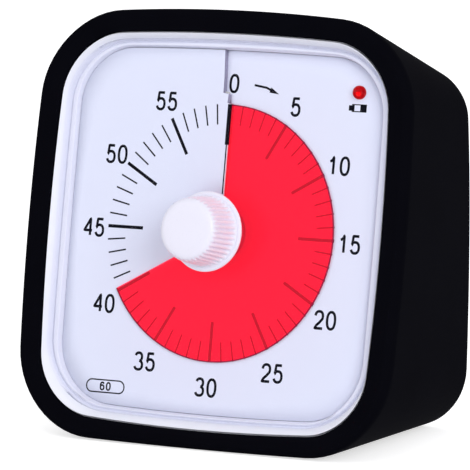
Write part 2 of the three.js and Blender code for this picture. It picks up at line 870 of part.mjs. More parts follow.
function cardColumn(turn, inner_radius) {
  const aim = turn * full_turn;
  const outside = jogAim(turn, cut_jog_end, dial_half_height);
  const jog_end_radius = cut_jog_radius + fit_gap;
  return [[inner_radius, aim], [cut_jog_radius, aim],
    [jog_end_radius, jogAim(turn, cut_jog, jog_end_radius)], [dialReach(outside, fit_gap), outside]];
}

function cardHeight(turn) {
  return cut_climb * (turn - 1 / 2);
}

// Dial card: one turn of a screw surface, so the side left of the cut stands in front of the other
function makeDial() {
  const half = card_thickness / 2;
  const card = spiralSheet({
    steps: card_steps, from: cutShare(cut_width), to: 1 - cutShare(cut_width),
    column: (turn) => cardColumn(turn, card_hole_radius),
    low: (turn) => cardHeight(turn) - half, high: (turn) => cardHeight(turn) + half,
  });
  const led_hole = disc(led_radius + fit_gap, -cut_climb, cut_climb, led_x, led_y, small_sides);
  put(face, 'dial_face', cut(card, led_hole), finish('dial', 0.6));
}

// Red film disk: a turn of the same screw surface, half a climb in front of the card
function makeFilm() {
  const end = film_minutes / hour_minutes;
  const half = film_thickness / 2;
  const film = spiralSheet({
    steps: film_steps, from: end - 1 + cutShare(cut_width), to: end - cutShare(cut_width),
    column: (turn) => [[film_inner_radius, turn * full_turn], [film_radius, turn * full_turn]],
    low: (turn) => cut_climb * turn - half, high: (turn) => cut_climb * turn + half,
  });
  put(face, 'time_disk', film, finish('film', 0.35));
}

// Tray: a floor behind the film and a frame whose top follows the underside of the card
function makeTray() {
  const under = card_thickness / 2 + fit_gap;
  const floor_middle = (floor_top + floor_bottom) / 2;
  const ramp = spiralSheet({
    steps: tray_steps, from: cutShare(tray_cut_width), to: 1 - cutShare(tray_cut_width),
    column: (turn) => cardColumn(turn, film_radius + tray_clearance),
    low: () => floor_middle, high: (turn) => cardHeight(turn) - under,
  });
  const floor = prism(polygon(dialOutline(fit_gap - bezel_skirt_width)), floor_bottom, floor_top);
  const hub = disc(bush_radius + fit_gap + tray_hub_wall, floor_middle, tray_top);
  const pillars = discsAt(pillar_places, pillar_radius, plate_front + fit_gap, floor_middle);
  const pilots = discsAt(pillar_places, small_screw_radius + fit_gap, plate_front, floor_top - fit_gap);
  const bore = disc(bush_radius + fit_gap, floor_bottom - cut_overrun, cut_climb);
  const led_hole = disc(led_radius + 2 * fit_gap, floor_bottom - cut_overrun, cut_climb,
    led_x, led_y, small_sides);
  const tray = cut(join(floor, ramp, hub, ...pillars), ...pilots, bore, led_hole);
  put(face, 'dial_tray', tray, finish('inner_white', 0.5));
}

// Status lamp: a round body with a domed top and a flange
function makeLed() {
  const base = floor_bottom - fit_gap;
  const body = led_top - led_radius;
  const profile = [[0, base - led_flange_thickness], [led_flange_radius, base - led_flange_thickness],
    [led_flange_radius, base], [led_radius, base]];
  for (let k = 0; k < arc_steps; k++) {
    const angle = k / arc_steps * Math.PI / 2;
    profile.push([led_radius * Math.cos(angle), body + led_radius * Math.sin(angle)]);
  }
  profile.push([0, led_top]);
  put(face, 'status_led', placed(turned(profile, small_sides), [led_x, led_y]), finish('led', 0.2));
}

// Knob: a flange, fine ribs round a tapered grip, and a smooth cap with a rounded edge
function makeKnob() {
  const grip_top = knob_front - knob_edge_round;
  const flange_round = knob_edge_round / 2;
  const profile = [[0, flange_back], [knob_flange_radius - flange_round, flange_back],
    [knob_flange_radius, flange_back + flange_round], [knob_flange_radius, flange_front - flange_round],
    [knob_flange_radius - flange_round, flange_front],
    [knob_root_radius - 2 * knob_rib_depth, flange_front],
    [knob_cap_radius - 2 * knob_rib_depth, grip_top]];
  for (let k = 0; k <= arc_steps; k++) {
    const angle = k / arc_steps * Math.PI / 2;
    profile.push([knob_cap_radius - knob_edge_round + knob_edge_round * Math.cos(angle),
      grip_top + knob_edge_round * Math.sin(angle)]);
  }
  profile.push([0, knob_front]);

  const ribRing = (radius, z) => {
    const points = [];
    const point_count = 2 * knob_rib_count;
    for (let k = 0; k < point_count; k++) {
      const angle = full_turn * k / point_count;
      const reach = radius - (k % 2) * knob_rib_depth;
      points.push(new THREE.Vector3(reach * Math.cos(angle), reach * Math.sin(angle), z));
    }
    return points;
  };
  const ribs = loft([ribRing(knob_root_radius, flange_front - flange_round),
    ribRing(knob_cap_radius, grip_top)]);
  const bore = disc(spindle_radius + fit_gap, flange_back - cut_overrun, flange_back + knob_bore_depth,
    0, 0, hidden_sides);
  put(face, 'knob', cut(join(turned(profile, knob_sides), ribs), bore), finish('knob', 0.35));
}

// A bored disc round the spindle
function collar(radius, from, to) {
  const bore = disc(spindle_radius + fit_gap, from - cut_overrun, to + cut_overrun, 0, 0, hidden_sides);
  return cut(disc(radius, from, to, 0, 0, hidden_sides), bore);
}

// Spindle with its shoulder, the film's hub, the bush, and the slip clutch behind the drive wheel
function makeSpindle() {
  const spindle = turned([[0, spindle_back], [spindle_radius, spindle_back],
    [spindle_radius, shoulder_back], [shoulder_radius, shoulder_back],
    [shoulder_radius, shoulder_back + shoulder_thickness],
    [spindle_radius, shoulder_back + shoulder_thickness], [spindle_radius, spindle_front],
    [0, spindle_front]], hidden_sides);
  put(face, 'spindle', spindle, finish('steel', 0.3, 1));
  put(face, 'disk_hub', collar(hub_radius, tray_top + fit_gap, flange_back - fit_gap), finish('knob', 0.4));

  const bush_back = floor_bottom - fit_gap - bush_flange_thickness;
  const bush = join(collar(bush_radius, bush_back, tray_top),
    collar(bush_radius + bush_flange_width, bush_back, bush_back + bush_flange_thickness));
  put(face, 'spindle_bush', bush, finish('brass', 0.35, 1));

  const dish_radius = (clutch_radius + spindle_radius) / 2;
  const dish = turned([[0, clutch_back], [dish_radius, clutch_back],
    [clutch_radius, drive_back - 2 * fit_gap], [clutch_radius, drive_back - fit_gap],
    [dish_radius, clutch_back + fit_gap], [0, clutch_back + fit_gap]], hidden_sides);
  const dish_bore = disc(spindle_radius + fit_gap, clutch_back - cut_overrun, drive_back,
    0, 0, hidden_sides);
  put(face, 'clutch_spring', cut(dish, dish_bore), finish('steel', 0.3, 1));
  put(face, 'clutch_collar', collar(collar_radius, collar_back, collar_back + collar_thickness),
    finish('brass', 0.35, 1));
}

// Outline of a wheel with a tooth that points along the given direction
function gearOutline(teeth, module_size, direction) {
  const pitch_radius = teeth * module_size / 2;
  const root = pitch_radius - dedendum_share * module_size;
  const tip = pitch_radius + addendum_share * module_size;
  const half_pitch = full_turn / teeth / 2;
  const points = [];
  for (let k = 0; k < teeth; k++) {
    const middle = direction + full_turn * k / teeth;
    for (const [radius, share] of [[root, -tooth_root_share], [tip, -tooth_tip_share],
      [tip, tooth_tip_share], [root, tooth_root_share]]) {
      const angle = middle + share * half_pitch;
      points.push([radius * Math.cos(angle), radius * Math.sin(angle)]);
    }
  }
  return polygon(points);
}

// A wheel has a tooth, and the pinion that it meets a gap, on the line between them
function wheelTowards(from, to, module_size, back, front) {
  const direction = Math.atan2(to[1] - from[1], to[0] - from[0]);
  return prism(gearOutline(gear_teeth, module_size, direction), back, front);
}

function pinionTowards(from, to, leaves, module_size, back, front) {
  const direction = Math.atan2(to[1] - from[1], to[0] - from[0]) + full_turn / leaves / 2;
  return prism(gearOutline(leaves, module_size, direction), back, front);
}

function makeWheels() {
  const centre = [0, 0];
  const drive = wheelTowards(centre, third_place, drive_module, drive_back, drive_front);
  const bore = disc(spindle_radius + fit_gap, drive_back - cut_overrun, drive_front + cut_overrun);
  put(face, 'drive_wheel', cut(drive, bore), finish('natural', 0.5));

  const arbor = disc(arbor_radius, arbor_back, arbor_front, 0, 0, arbor_sides);
  const third = join(arbor,
    pinionTowards(third_place, centre, pinion_leaves, drive_module, third_back, drive_front + fit_gap),
    wheelTowards(third_place, fourth_place, third_module, third_back, third_front));
  put(face, 'third_wheel', placed(third, third_place), finish('natural', 0.5));

  const fourth = join(arbor,
    pinionTowards(fourth_place, third_place, pinion_leaves, third_module, fourth_back,
      third_front + fit_gap),
    wheelTowards(fourth_place, rotor_place, fourth_module, fourth_back, fourth_front));
  put(face, 'fourth_wheel', placed(fourth, fourth_place), finish('natural', 0.5));

  const rotor = join(arbor,
    pinionTowards(rotor_place, fourth_place, rotor_leaves, fourth_module, magnet_front - fit_gap,
      fourth_front + fit_gap),
    disc(magnet_radius, magnet_back, magnet_front));
  put(face, 'rotor', placed(rotor, rotor_place), finish('black', 0.5));
}

// Movement frame: two plates held apart by pillars, with the stepping motor between them
function makeMovement() {
  const outline = roundedRectangle(plate_left, plate_right, plate_bottom, plate_top, plate_corner);
  const pivots = [third_place, fourth_place, rotor_place];
  const holes = (from, to, screws_to) => [
    disc(spindle_radius + fit_gap, from, to, 0, 0, hidden_sides),
    ...discsAt(pivots, arbor_radius + fit_gap, from, to, arbor_sides),
    ...discsAt(pillar_places, small_screw_radius + fit_gap, from, screws_to),
  ];
  const front = cut(prism(outline, plate_back, plate_front),
    ...holes(plate_back - cut_overrun, plate_front + cut_overrun, plate_front + cut_overrun));
  put(face, 'movement_front_plate', front, finish('natural', 0.5));

  const pillars = discsAt(pillar_places, pillar_radius, rear_plate_back, plate_back - fit_gap);
  const rear = cut(join(prism(outline, rear_plate_back, rear_plate_front), ...pillars),
    ...holes(rear_plate_back - cut_overrun, rear_plate_front + cut_overrun, plate_front));
  put(face, 'movement_rear_plate', rear, finish('natural', 0.5));

  const half_yoke = magnet_radius + stator_hole_gap + yoke_strip;
  const yoke_top = rotor_place[1] + half_yoke;
  const yoke_bottom = rotor_place[1] - half_yoke;
  const leg_bottom = yoke_bottom - yoke_leg_height;
  const leg_inside = [yoke_left + yoke_leg_width, yoke_right - yoke_leg_width];
  const yoke = polygon([[yoke_left, yoke_top], [yoke_left, leg_bottom], [leg_inside[0], leg_bottom],
    [leg_inside[0], yoke_bottom], [leg_inside[1], yoke_bottom], [leg_inside[1], leg_bottom],
    [yoke_right, leg_bottom], [yoke_right, yoke_top]]);
  const rotor_hole = disc(magnet_radius + stator_hole_gap, stator_back - cut_overrun,
    stator_front + cut_overrun, rotor_place[0], rotor_place[1]);
  put(face, 'stator', cut(prism(yoke, stator_back, stator_front), rotor_hole), finish('steel', 0.45, 1));

  const core_y = leg_bottom + core_width;
  const core = block([yoke_left + fit_gap, yoke_right - fit_gap],
    [core_y - core_width / 2, core_y + core_width / 2], [core_back, core_front]);
  put(face, 'coil_core', core, finish('steel', 0.45, 1));

  const winding_length = leg_inside[1] - leg_inside[0] - 2 * winding_end_gap;
  const winding = new THREE.CylinderGeometry(winding_radius, winding_radius, winding_length, small_sides);
  winding.rotateZ(Math.PI / 2);
  winding.translate((yoke_left + yoke_right) / 2, core_y, core_middle);
  const window = block(leg_inside, [core_y - core_width / 2 - fit_gap, core_y + core_width / 2 + fit_gap],
    [core_back - fit_gap, core_front + fit_gap]);
  put(face, 'coil_winding', cut(winding, window), finish('copper', 0.4, 0.6));

  pillar_places.forEach((place, n) => {
    const screw = screwShape(small_head_radius, small_head_height, small_screw_radius,
      rear_plate_back - fit_gap, floor_bottom);
    put(face, `movement_screw_${n + 1}`, placed(screw, place), finish('steel', 0.35, 1));
  });
}

// Cell, its two contacts and the door
function makePower() {
  const cell_start = -bay_half_length + contact_thickness + spring_length + fit_gap;
  const shoulder = cell_start + cell_length - cell_nub_length;
  const cell = turned([[0, cell_start], [cell_radius, cell_start], [cell_radius, shoulder],
    [cell_nub_radius, shoulder], [cell_nub_radius, shoulder + cell_nub_length],
    [0, shoulder + cell_nub_length]]);
  cell.rotateY(Math.PI / 2);
  cell.translate(0, cell_depth, cell_height);
  put(timer, 'battery_cell', cell, finish('cell', 0.35, 0.4));

  const plate = (from) => join(
    block([from, from + contact_thickness], [bay_front + fit_gap, door_inside - 3 * fit_gap],
      [cell_height - contact_height / 2, cell_height + contact_height / 2]),
    block([from, from + contact_thickness],
      [bay_front - bay_wall - contact_tab_length, bay_front + bay_wall],
      [cell_height - contact_tab_width / 2, cell_height + contact_tab_width / 2]));
  put(timer, 'battery_contact', plate(bay_half_length - fit_gap - contact_thickness),
    finish('steel', 0.3, 1));

  const points = [];
  const steps = spring_steps_per_turn * spring_turns;
  const foot = -bay_half_length + contact_thickness + spring_wire_radius;
  for (let k = 0; k <= steps; k++) {
    const share = k / steps;
    const angle = full_turn * spring_turns * share;
    const radius = spring_big_radius + (spring_small_radius - spring_big_radius) * share;
    points.push([foot + (spring_length - 3 * spring_wire_radius) * share,
      cell_depth + radius * Math.cos(angle), cell_height + radius * Math.sin(angle)]);
  }
  const coil = tube(points, spring_wire_radius, steps, spring_sides);
  put(timer, 'battery_spring', join(plate(-bay_half_length + fit_gap), coil), finish('steel', 0.3, 1));

  const door = block([-door_half_length, door_half_length], [door_inside, wall_outside],
    [door_bottom, door_top]);
  const notch = bar(door_notch_radius, door_inside + door_thickness / 2, wall_outside + cut_overrun, 0,
    door_top - door_notch_radius - door_margin / 2, round_sides);
  put(timer, 'battery_door', cut(door, notch), finish('case_white', 0.45));
}

// Control board, buzzer, volume switch and leads
function makeElectronics() {
  const holes = standoff_places.map(([x, z]) => bar(small_screw_radius + fit_gap,
    board_front - cut_overrun, board_back + cut_overrun, x, z));
  const board = block([-board_half_width, board_half_width], [board_front, board_back],
    [board_low, board_high]);
  put(timer, 'control_board', cut(board, ...holes), finish('board', 0.5));

  const buzzer = bar(buzzer_radius, board_back + fit_gap, wall_inside - fit_gap, buzzer_x,
    board_centre_height, round_sides);
  const port = bar(buzzer_port_radius, wall_inside - 2 * cut_overrun, wall_inside, buzzer_x,
    board_centre_height);
  put(timer, 'buzzer', cut(buzzer, port), finish('black', 0.5));

  const switch_middle = switch_x + slider_travel / 2;
  const switch_front = board_back + fit_gap;
  const switch_back = switch_front + switch_body_depth;
  put(timer, 'switch_body', block(
    [switch_middle - switch_body_width / 2, switch_middle + switch_body_width / 2],
    [switch_front, switch_back],
    [switch_height - switch_body_height / 2, switch_height + switch_body_height / 2],
  ), finish('steel', 0.4, 1));
  put(timer, 'volume_slider', block(
    [switch_x - slider_width / 2, switch_x + slider_width / 2],
    [switch_back + fit_gap, wall_outside + slider_proud],
    [switch_height - slider_height / 2, switch_height + slider_height / 2],
  ), finish('black', 0.5));

  standoff_places.forEach(([x, z], n) => {
    const screw = screwShape(small_head_radius, small_head_height, small_screw_radius,
      fit_gap - board_front, fit_gap - wall_inside);
    screw.rotateX(Math.PI / 2);
    screw.translate(x, 0, z);
    put(timer, `board_screw_${n + 1}`, screw, finish('steel', 0.35, 1));
  });

  const tab_end = bay_front - bay_wall - contact_tab_length - lead_radius;
  const edge = bay_half_length - fit_gap;
  const board_line = board_front - fit_gap - lead_radius;
  const lead = (side) => [[side * edge, tab_end - fit_gap, cell_height],
    [side * (edge + 2 * lead_radius), tab_end - 2 * lead_radius, cell_height + cell_radius],
    [side * edge, (tab_end + board_line) / 2, (cell_height + board_low) / 2],
    [side * (board_half_width - 2 * lead_radius), board_line, board_low + 2 * lead_radius]];
  put(timer, 'battery_lead_red', tube(lead(1), lead_radius, lead_steps, lead_sides), finish('red', 0.5));
  put(timer, 'battery_lead_black', tube(lead(-1), lead_radius, lead_steps, lead_sides),
    finish('black', 0.5));

  const lamp = onFace(led_x, led_y, floor_bottom - led_flange_thickness - 2 * fit_gap - lead_radius);
  const lamp_lead = [[lamp.x, lamp.y, lamp.z],
    [lamp.x, lamp.y + 4 * lead_radius, lamp.z - 2 * lead_radius],
    [(lamp.x + board_half_width) / 2, (lamp.y + board_line) / 2, (lamp.z + board_high) / 2],
    [board_half_width - 3 * lead_radius, board_line, board_high - 3 * lead_radius]];
  put(timer, 'led_lead', tube(lamp_lead, lead_radius, lead_steps, lead_sides), finish('red', 0.5));
}

makeSleeve();
makeFrontHousing();
makeRearHousing();
makeLens();
makeDial();
makeFilm();
makeTray();
makeLed();
makeKnob();
makeSpindle();
makeWheels();
makeMovement();
makePower();
makeElectronics();

// Stand the timer on its base, with the origin under the middle of its box
timer.updateMatrixWorld(true);
const box = new THREE.Box3().setFromObject(timer, true);
const middle = box.getCenter(new THREE.Vector3());
timer.position.set(-middle.x, -middle.y, -box.min.z);
timer.updateMatrixWorld(true);

export default timer;
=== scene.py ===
import math

import bmesh
import bpy
from mathutils import Matrix, Vector


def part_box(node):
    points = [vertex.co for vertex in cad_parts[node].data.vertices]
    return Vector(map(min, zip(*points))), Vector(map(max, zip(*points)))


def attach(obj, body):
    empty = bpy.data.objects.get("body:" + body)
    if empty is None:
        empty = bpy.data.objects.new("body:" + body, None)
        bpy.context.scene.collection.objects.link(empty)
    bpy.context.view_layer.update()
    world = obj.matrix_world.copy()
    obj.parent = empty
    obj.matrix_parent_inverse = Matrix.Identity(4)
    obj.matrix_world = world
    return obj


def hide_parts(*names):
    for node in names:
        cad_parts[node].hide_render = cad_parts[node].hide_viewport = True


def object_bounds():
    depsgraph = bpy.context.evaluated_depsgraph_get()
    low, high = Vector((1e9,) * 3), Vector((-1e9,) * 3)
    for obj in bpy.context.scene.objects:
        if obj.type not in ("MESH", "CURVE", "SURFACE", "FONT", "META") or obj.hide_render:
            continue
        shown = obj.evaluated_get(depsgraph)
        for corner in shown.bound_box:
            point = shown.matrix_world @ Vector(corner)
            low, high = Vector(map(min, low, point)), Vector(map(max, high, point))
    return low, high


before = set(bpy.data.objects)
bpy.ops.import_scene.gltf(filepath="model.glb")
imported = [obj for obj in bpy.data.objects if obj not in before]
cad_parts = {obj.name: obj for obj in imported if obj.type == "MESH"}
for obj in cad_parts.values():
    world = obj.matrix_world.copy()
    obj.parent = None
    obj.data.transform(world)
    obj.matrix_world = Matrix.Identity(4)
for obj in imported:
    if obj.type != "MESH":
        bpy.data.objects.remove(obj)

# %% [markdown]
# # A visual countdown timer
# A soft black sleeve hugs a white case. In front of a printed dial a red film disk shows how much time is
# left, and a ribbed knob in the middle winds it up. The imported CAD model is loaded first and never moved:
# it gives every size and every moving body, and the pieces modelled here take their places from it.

cad_low, cad_high = [list(corner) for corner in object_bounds()]
print("CAD box in mm:", [round(1000 * (b - a), 1) for a, b in zip(cad_low, cad_high)])

# %% [markdown]
# ## Two places to work in
# The face leans back by 9.6 degrees, so what lies on it is easiest to draw flat: x to the right, y up the
# face and z out of it, in millimetres from the middle of the dial. The case itself is drawn upright. Two
# matrices take each finished mesh from those millimetres to the metres of the model.

# %% Frames of the face and of the upright case
MM = 0.001
LEAN = math.radians(9.6)
DIAL_DEPTH, DIAL_HEIGHT = -14.246, 45.8
DIAL_MIDDLE = Vector((0, DIAL_DEPTH, DIAL_HEIGHT))
UPRIGHT = Matrix.Scale(MM, 4) @ Matrix.Translation(DIAL_MIDDLE)
FACE = UPRIGHT @ Matrix.Rotation(math.pi / 2 - LEAN, 4, "X")


def on_face(x, y, z):
    """A point of the leaning face, in the upright frame."""
    return Vector((x, y * math.sin(LEAN) - z * math.cos(LEAN), y * math.cos(LEAN) + z * math.sin(LEAN)))


def face_range(node):
    """Lowest and highest corner of a CAD node, measured along the leaning face."""
    back = FACE.inverted()
    points = [back @ v.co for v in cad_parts[node].data.vertices]
    return [[pick(p[k] for p in points) for k in range(3)] for pick in (min, max)]


print("knob along the face:", [[round(c, 2) for c in corner] for corner in face_range("knob")])

# %% [markdown]
# ## Camera
# The photograph was taken from the right and slightly above, from far enough that the case shows little
# perspective. The camera stands on the same line, with a long lens that gives the same size in the frame.

# %% Camera at the photograph's angle
AZIMUTH = math.radians(29.825)
ELEVATION = math.radians(6.872)
FOCAL_PIXELS = 4800
PICTURE_PIXELS = 470
SENSOR_MM = 36
# The middle of the dial as the camera sees it: to the right, upwards and towards it, in mm
SEEN_MIDDLE = Vector((-3.16, 0.357, -1038.44))

right = Vector((math.cos(AZIMUTH), math.sin(AZIMUTH), 0))
backwards = Vector((math.sin(AZIMUTH) * math.cos(ELEVATION), -math.cos(AZIMUTH) * math.cos(ELEVATION),
                    math.sin(ELEVATION)))
upwards = backwards.cross(right)
stand = DIAL_MIDDLE - SEEN_MIDDLE.x * right - SEEN_MIDDLE.y * upwards - SEEN_MIDDLE.z * backwards

lens_data = bpy.data.cameras.new("photo_camera")
lens_data.sensor_width = SENSOR_MM
lens_data.lens = FOCAL_PIXELS / PICTURE_PIXELS * SENSOR_MM
lens_data.clip_start = 0.01
camera = bpy.data.objects.new("photo_camera", lens_data)
turned = Matrix((right, upwards, backwards)).transposed().to_4x4()
camera.matrix_world = Matrix.Translation(stand * MM) @ turned
bpy.context.collection.objects.link(camera)
bpy.context.scene.camera = camera
print("camera at", [round(c, 3) for c in camera.location], "lens", round(lens_data.lens, 1))

# %% [markdown]
# ## Colours and nodes
# Colours are written as the hex values that a colour picker gives. Shaders count in linear light, so one
# function turns them over. Another adds a shader node with its settings and its links in one go.

# %% Colour and node helpers


def linear(hex_colour):
    """An sRGB hex colour as linear red, green, blue and alpha."""
    parts = [int(hex_colour[k:k + 2], 16) / 255 for k in (1, 3, 5)]
    return tuple(c / 12.92 if c <= 0.04045 else ((c + 0.055) / 1.055) ** 2.4 for c in parts) + (1.0,)


def add_node(tree, kind, inputs=None, **settings):
    """Adds a node, sets its options, and fills its sockets with values or links."""
    made = tree.nodes.new(kind)
    for name, value in settings.items():
        setattr(made, name, value)
    for name, value in (inputs or {}).items():
        if isinstance(value, bpy.types.NodeSocket):
            tree.links.new(value, made.inputs[name])
        else:
            made.inputs[name].default_value = value
    return made


def new_material(name):
    """An empty node material and its tree."""
    made = bpy.data.materials.new(name)
    made.use_nodes = True
    made.node_tree.nodes.clear()
    return made, made.node_tree


# %% [markdown]
# ## Moulded and coated surfaces
# Most pieces are moulded plastic or rubber. Up close such a surface is never even: the tool leaves a fine
# grain, the colour drifts a little and the shine with it. Noise on Object coordinates gives all three, with
# its scale worked out from the size of the grain in millimetres.

# %% A moulded surface


def grainy(name, colour, shade, roughness, grain_mm, relief_mm, drift_mm=12.0, spread=0.08, **sockets):
    """Two close colours that drift over the piece, with a fine grain in the shine and in the relief."""
    made, tree = new_material(name)
    place = add_node(tree, "ShaderNodeTexCoord").outputs["Object"]
    grain = add_node(tree, "ShaderNodeTexNoise",
                     {"Vector": place, "Scale": 1 / (grain_mm * MM), "Detail": 3.0})
    drift = add_node(tree, "ShaderNodeTexNoise",
                     {"Vector": place, "Scale": 1 / (drift_mm * MM), "Detail": 2.0})
    mixed = add_node(tree, "ShaderNodeMix", {"Factor": drift.outputs["Fac"], 6: linear(colour),
                                             7: linear(shade)}, data_type="RGBA")
    shine = add_node(tree, "ShaderNodeMapRange",
                     {"Value": grain.outputs["Fac"], "To Min": max(roughness - spread, 0.02),
                      "To Max": min(roughness + spread, 1.0)})
    relief = add_node(tree, "ShaderNodeBump", {"Height": grain.outputs["Fac"], "Strength": 1.0,
                                               "Distance": relief_mm * MM})
    shader = add_node(tree, "ShaderNodeBsdfPrincipled",
                      {"Base Color": mixed.outputs[2], "Roughness": shine.outputs["Result"],
                       "Normal": relief.outputs["Normal"], **sockets})
    add_node(tree, "ShaderNodeOutputMaterial", {"Surface": shader.outputs["BSDF"]})
    return made


# Silicone rubber from a spark-eroded tool: nearly black, and so matt that it hardly mirrors anything
silicone = grainy("moulded_silicone", "#07070c", "#0a0a10", 0.7, 0.45, 0.012, spread=0.1,
                  **{"Specular IOR Level": 0.003})
# ABS with a satin tool finish: cool white, the light lies softly on its edges
abs_case = grainy("satin_abs", "#eceef8", "#e9ebf6", 0.5, 0.35, 0.002, **{"Specular IOR Level": 0.2})
# The same ABS polished for the knob: a little brighter, with a smoother shine
abs_knob = grainy("polished_abs", "#ebeaf9", "#e8e7f6", 0.3, 0.5, 0.001, **{"Specular IOR Level": 0.3})
# Matt white sheet, printed face up
printed_card = grainy("printed_card", "#eaeefb", "#e8ecfa", 0.6, 0.3, 0.001, **{"Specular IOR Level": 0.15})
# Painted shade on the wall of the cut: a grey that draws the thin grey line down that wall
painted_shade_cut_wall = grainy("painted_shade_cut_wall", "#9c9aaf", "#9694a9", 0.7, 0.3, 0.001, **{"Specular IOR Level": 0.05})
# Screen-printing ink: almost black with a touch of blue, slightly raised
ink = grainy("screen_ink", "#0a0a14", "#0e0e18", 0.5, 0.2, 0.001, **{"Specular IOR Level": 0.05})
# Off-white ABS of the hidden tray
tray_abs = grainy("inner_abs", "#d8d8d4", "#d2d2cd", 0.5, 0.4, 0.003)
# Acetal gears and plates: milky, waxy and self-lubricating
acetal = grainy("moulded_acetal", "#e6e2d4", "#dfdbcb", 0.38, 0.6, 0.002)
# Black ABS of the buzzer and the switch
black_abs = grainy("black_abs", "#18181a", "#1d1d20", 0.45, 0.4, 0.004)
# Glass-fibre board under green lacquer: the weave shows faintly
board_lacquer = grainy("green_board", "#1f6b3a", "#195f32", 0.35, 0.8, 0.01)
# PVC insulation of the thin leads
red_pvc = grainy("red_pvc", "#b01818", "#a01414", 0.4, 0.5, 0.002)
black_pvc = grainy("black_pvc", "#141414", "#1a1a1a", 0.4, 0.5, 0.002)
# Printed metal jacket of the cell
cell_jacket = grainy("cell_jacket", "#3a5f8a", "#345880", 0.35, 1.0, 0.002, **{"Metallic": 0.4})
# Zinc-plated steel: bright grey with a faint cloudiness
zinc_steel = grainy("zinc_steel", "#b8bcc2", "#a9adb4", 0.34, 0.5, 0.003, drift_mm=3, **{"Metallic": 1.0})
# Turned brass of bush and collar
brass = grainy("turned_brass", "#c8a04a", "#bb9240", 0.3, 0.3, 0.002, **{"Metallic": 1.0})
# Enamelled copper wire, wound close
copper = grainy("enamelled_copper", "#b0603a", "#9c5230", 0.35, 0.25, 0.03, **{"Metallic": 0.8})
print("grainy materials:", len(bpy.data.materials))

# %% [markdown]
# ## See-through surfaces
# The film is a thin red sheet: part of the light comes off its pigment and part goes through, so the printed
# ticks below it show as darker red. A Transparent shader with a red tint does the second part and also lets
# the lamps reach the dial. An emission on the pigment is painted light: the film glows, which lifts its
# red to a bright one and hides shade on it. The window is a flat clear sheet, so it needs no refraction, only a
# weak
# mirror over a Transparent shader.

# %% Film, window and lamp


def see_through(name, tint, surface, share):
    """A surface shader over what is behind it; share goes through."""
    made, tree = new_material(name)
    clear = add_node(tree, "ShaderNodeBsdfTransparent", {"Color": tint})
    body = surface(tree)
    mixed = add_node(tree, "ShaderNodeMixShader", {0: share if isinstance(share, float) else share(tree),
                                                   1: body, 2: clear.outputs["BSDF"]})
    add_node(tree, "ShaderNodeOutputMaterial", {"Surface": mixed.outputs["Shader"]})
    return made


def film_body(tree):
    """The pigment of the film: a faint cloudiness in colour and shine, with an emission of painted light."""
    place = add_node(tree, "ShaderNodeTexCoord").outputs["Object"]
    cloud = add_node(tree, "ShaderNodeTexNoise", {"Vector": place, "Scale": 1 / (6 * MM), "Detail": 2.0})
    shine = add_node(tree, "ShaderNodeMapRange", {"Value": cloud.outputs["Fac"], "To Min": 0.3, "To Max": 0.4})
    red = add_node(tree, "ShaderNodeMix", {"Factor": cloud.outputs["Fac"], 6: linear("#ff1838"),
                                           7: linear("#fd1534")}, data_type="RGBA")
    # The emission is painted light: it makes the film glow though it is no lamp
    body = add_node(tree, "ShaderNodeBsdfPrincipled",
                    {"Base Color": red.outputs[2], "Roughness": shine.outputs["Result"],
                     "Specular IOR Level": 0.1, "Emission Color": linear("#ff3f58"),
                     "Emission Strength": 1.65})
    return body.outputs["BSDF"]


def epoxy_body(tree):
    """Cast red epoxy whose colour flows a little."""
    place = add_node(tree, "ShaderNodeTexCoord").outputs["Object"]
    flow = add_node(tree, "ShaderNodeTexNoise", {"Vector": place, "Scale": 1 / (0.9 * MM)})
    red = add_node(tree, "ShaderNodeMix", {"Factor": flow.outputs["Fac"], 6: linear("#e00410"),
                                           7: linear("#a00008")}, data_type="RGBA")
    return add_node(tree, "ShaderNodeBsdfPrincipled",
                    {"Base Color": red.outputs[2], "Roughness": 0.06, "Specular IOR Level": 0.15}).outputs["BSDF"]


def window_body(tree):
    """A weak mirror with a trace of haze."""
    place = add_node(tree, "ShaderNodeTexCoord").outputs["Object"]
    haze = add_node(tree, "ShaderNodeTexNoise", {"Vector": place, "Scale": 1 / (15 * MM)})
    shine = add_node(tree, "ShaderNodeMapRange", {"Value": haze.outputs["Fac"], "To Min": 0.02, "To Max": 0.05})
    return add_node(tree, "ShaderNodeBsdfGlossy", {"Roughness": shine.outputs["Result"]}).outputs["BSDF"]


def window_share(tree):
    """What goes through the window: all but the little that its coated surface mirrors."""
    mirror = add_node(tree, "ShaderNodeFresnel", {"IOR": 1.06})
    passed = add_node(tree, "ShaderNodeMath", {0: 1.0, 1: mirror.outputs["Fac"]}, operation="SUBTRACT")
    return passed.outputs[0]


# Polyester film dyed red: nearly nine tenths of the light goes through each side, so the ticks show as a
# darker red below it
red_film = see_through("red_polyester_film", linear("#ff98b0"), film_body, 0.88)
# A fine dark red ring along its rim: partly the dye seen through its cut edge, partly painted shade
film_rim_dye_and_shade = grainy("film_rim_dye_painted_shade", "#a01440", "#96103a", 0.4, 0.3, 0.001, drift_mm=3,
                   **{"Specular IOR Level": 0.1})
# Clear acrylic with an anti-glare coat
clear_acrylic = see_through("coated_acrylic", linear("#fdfdff"), window_body, window_share)
# Tinted epoxy of the lamp: deep red with a wet shine
red_epoxy = see_through("tinted_epoxy", linear("#ff1208"), epoxy_body, 0.4)
# The chip in its cup glows: its emission is a painted highlight, which stands in for the bright spots on the dome
chip_painted_highlight = grainy("chip_painted_highlight", "#ff8070", "#ff6858", 0.4, 0.3, 0.001, drift_mm=0.5,
                  **{"Emission Color": linear("#ff6a50"), "Emission Strength": 5.0})
print("see-through materials:", red_film.name, clear_acrylic.name)
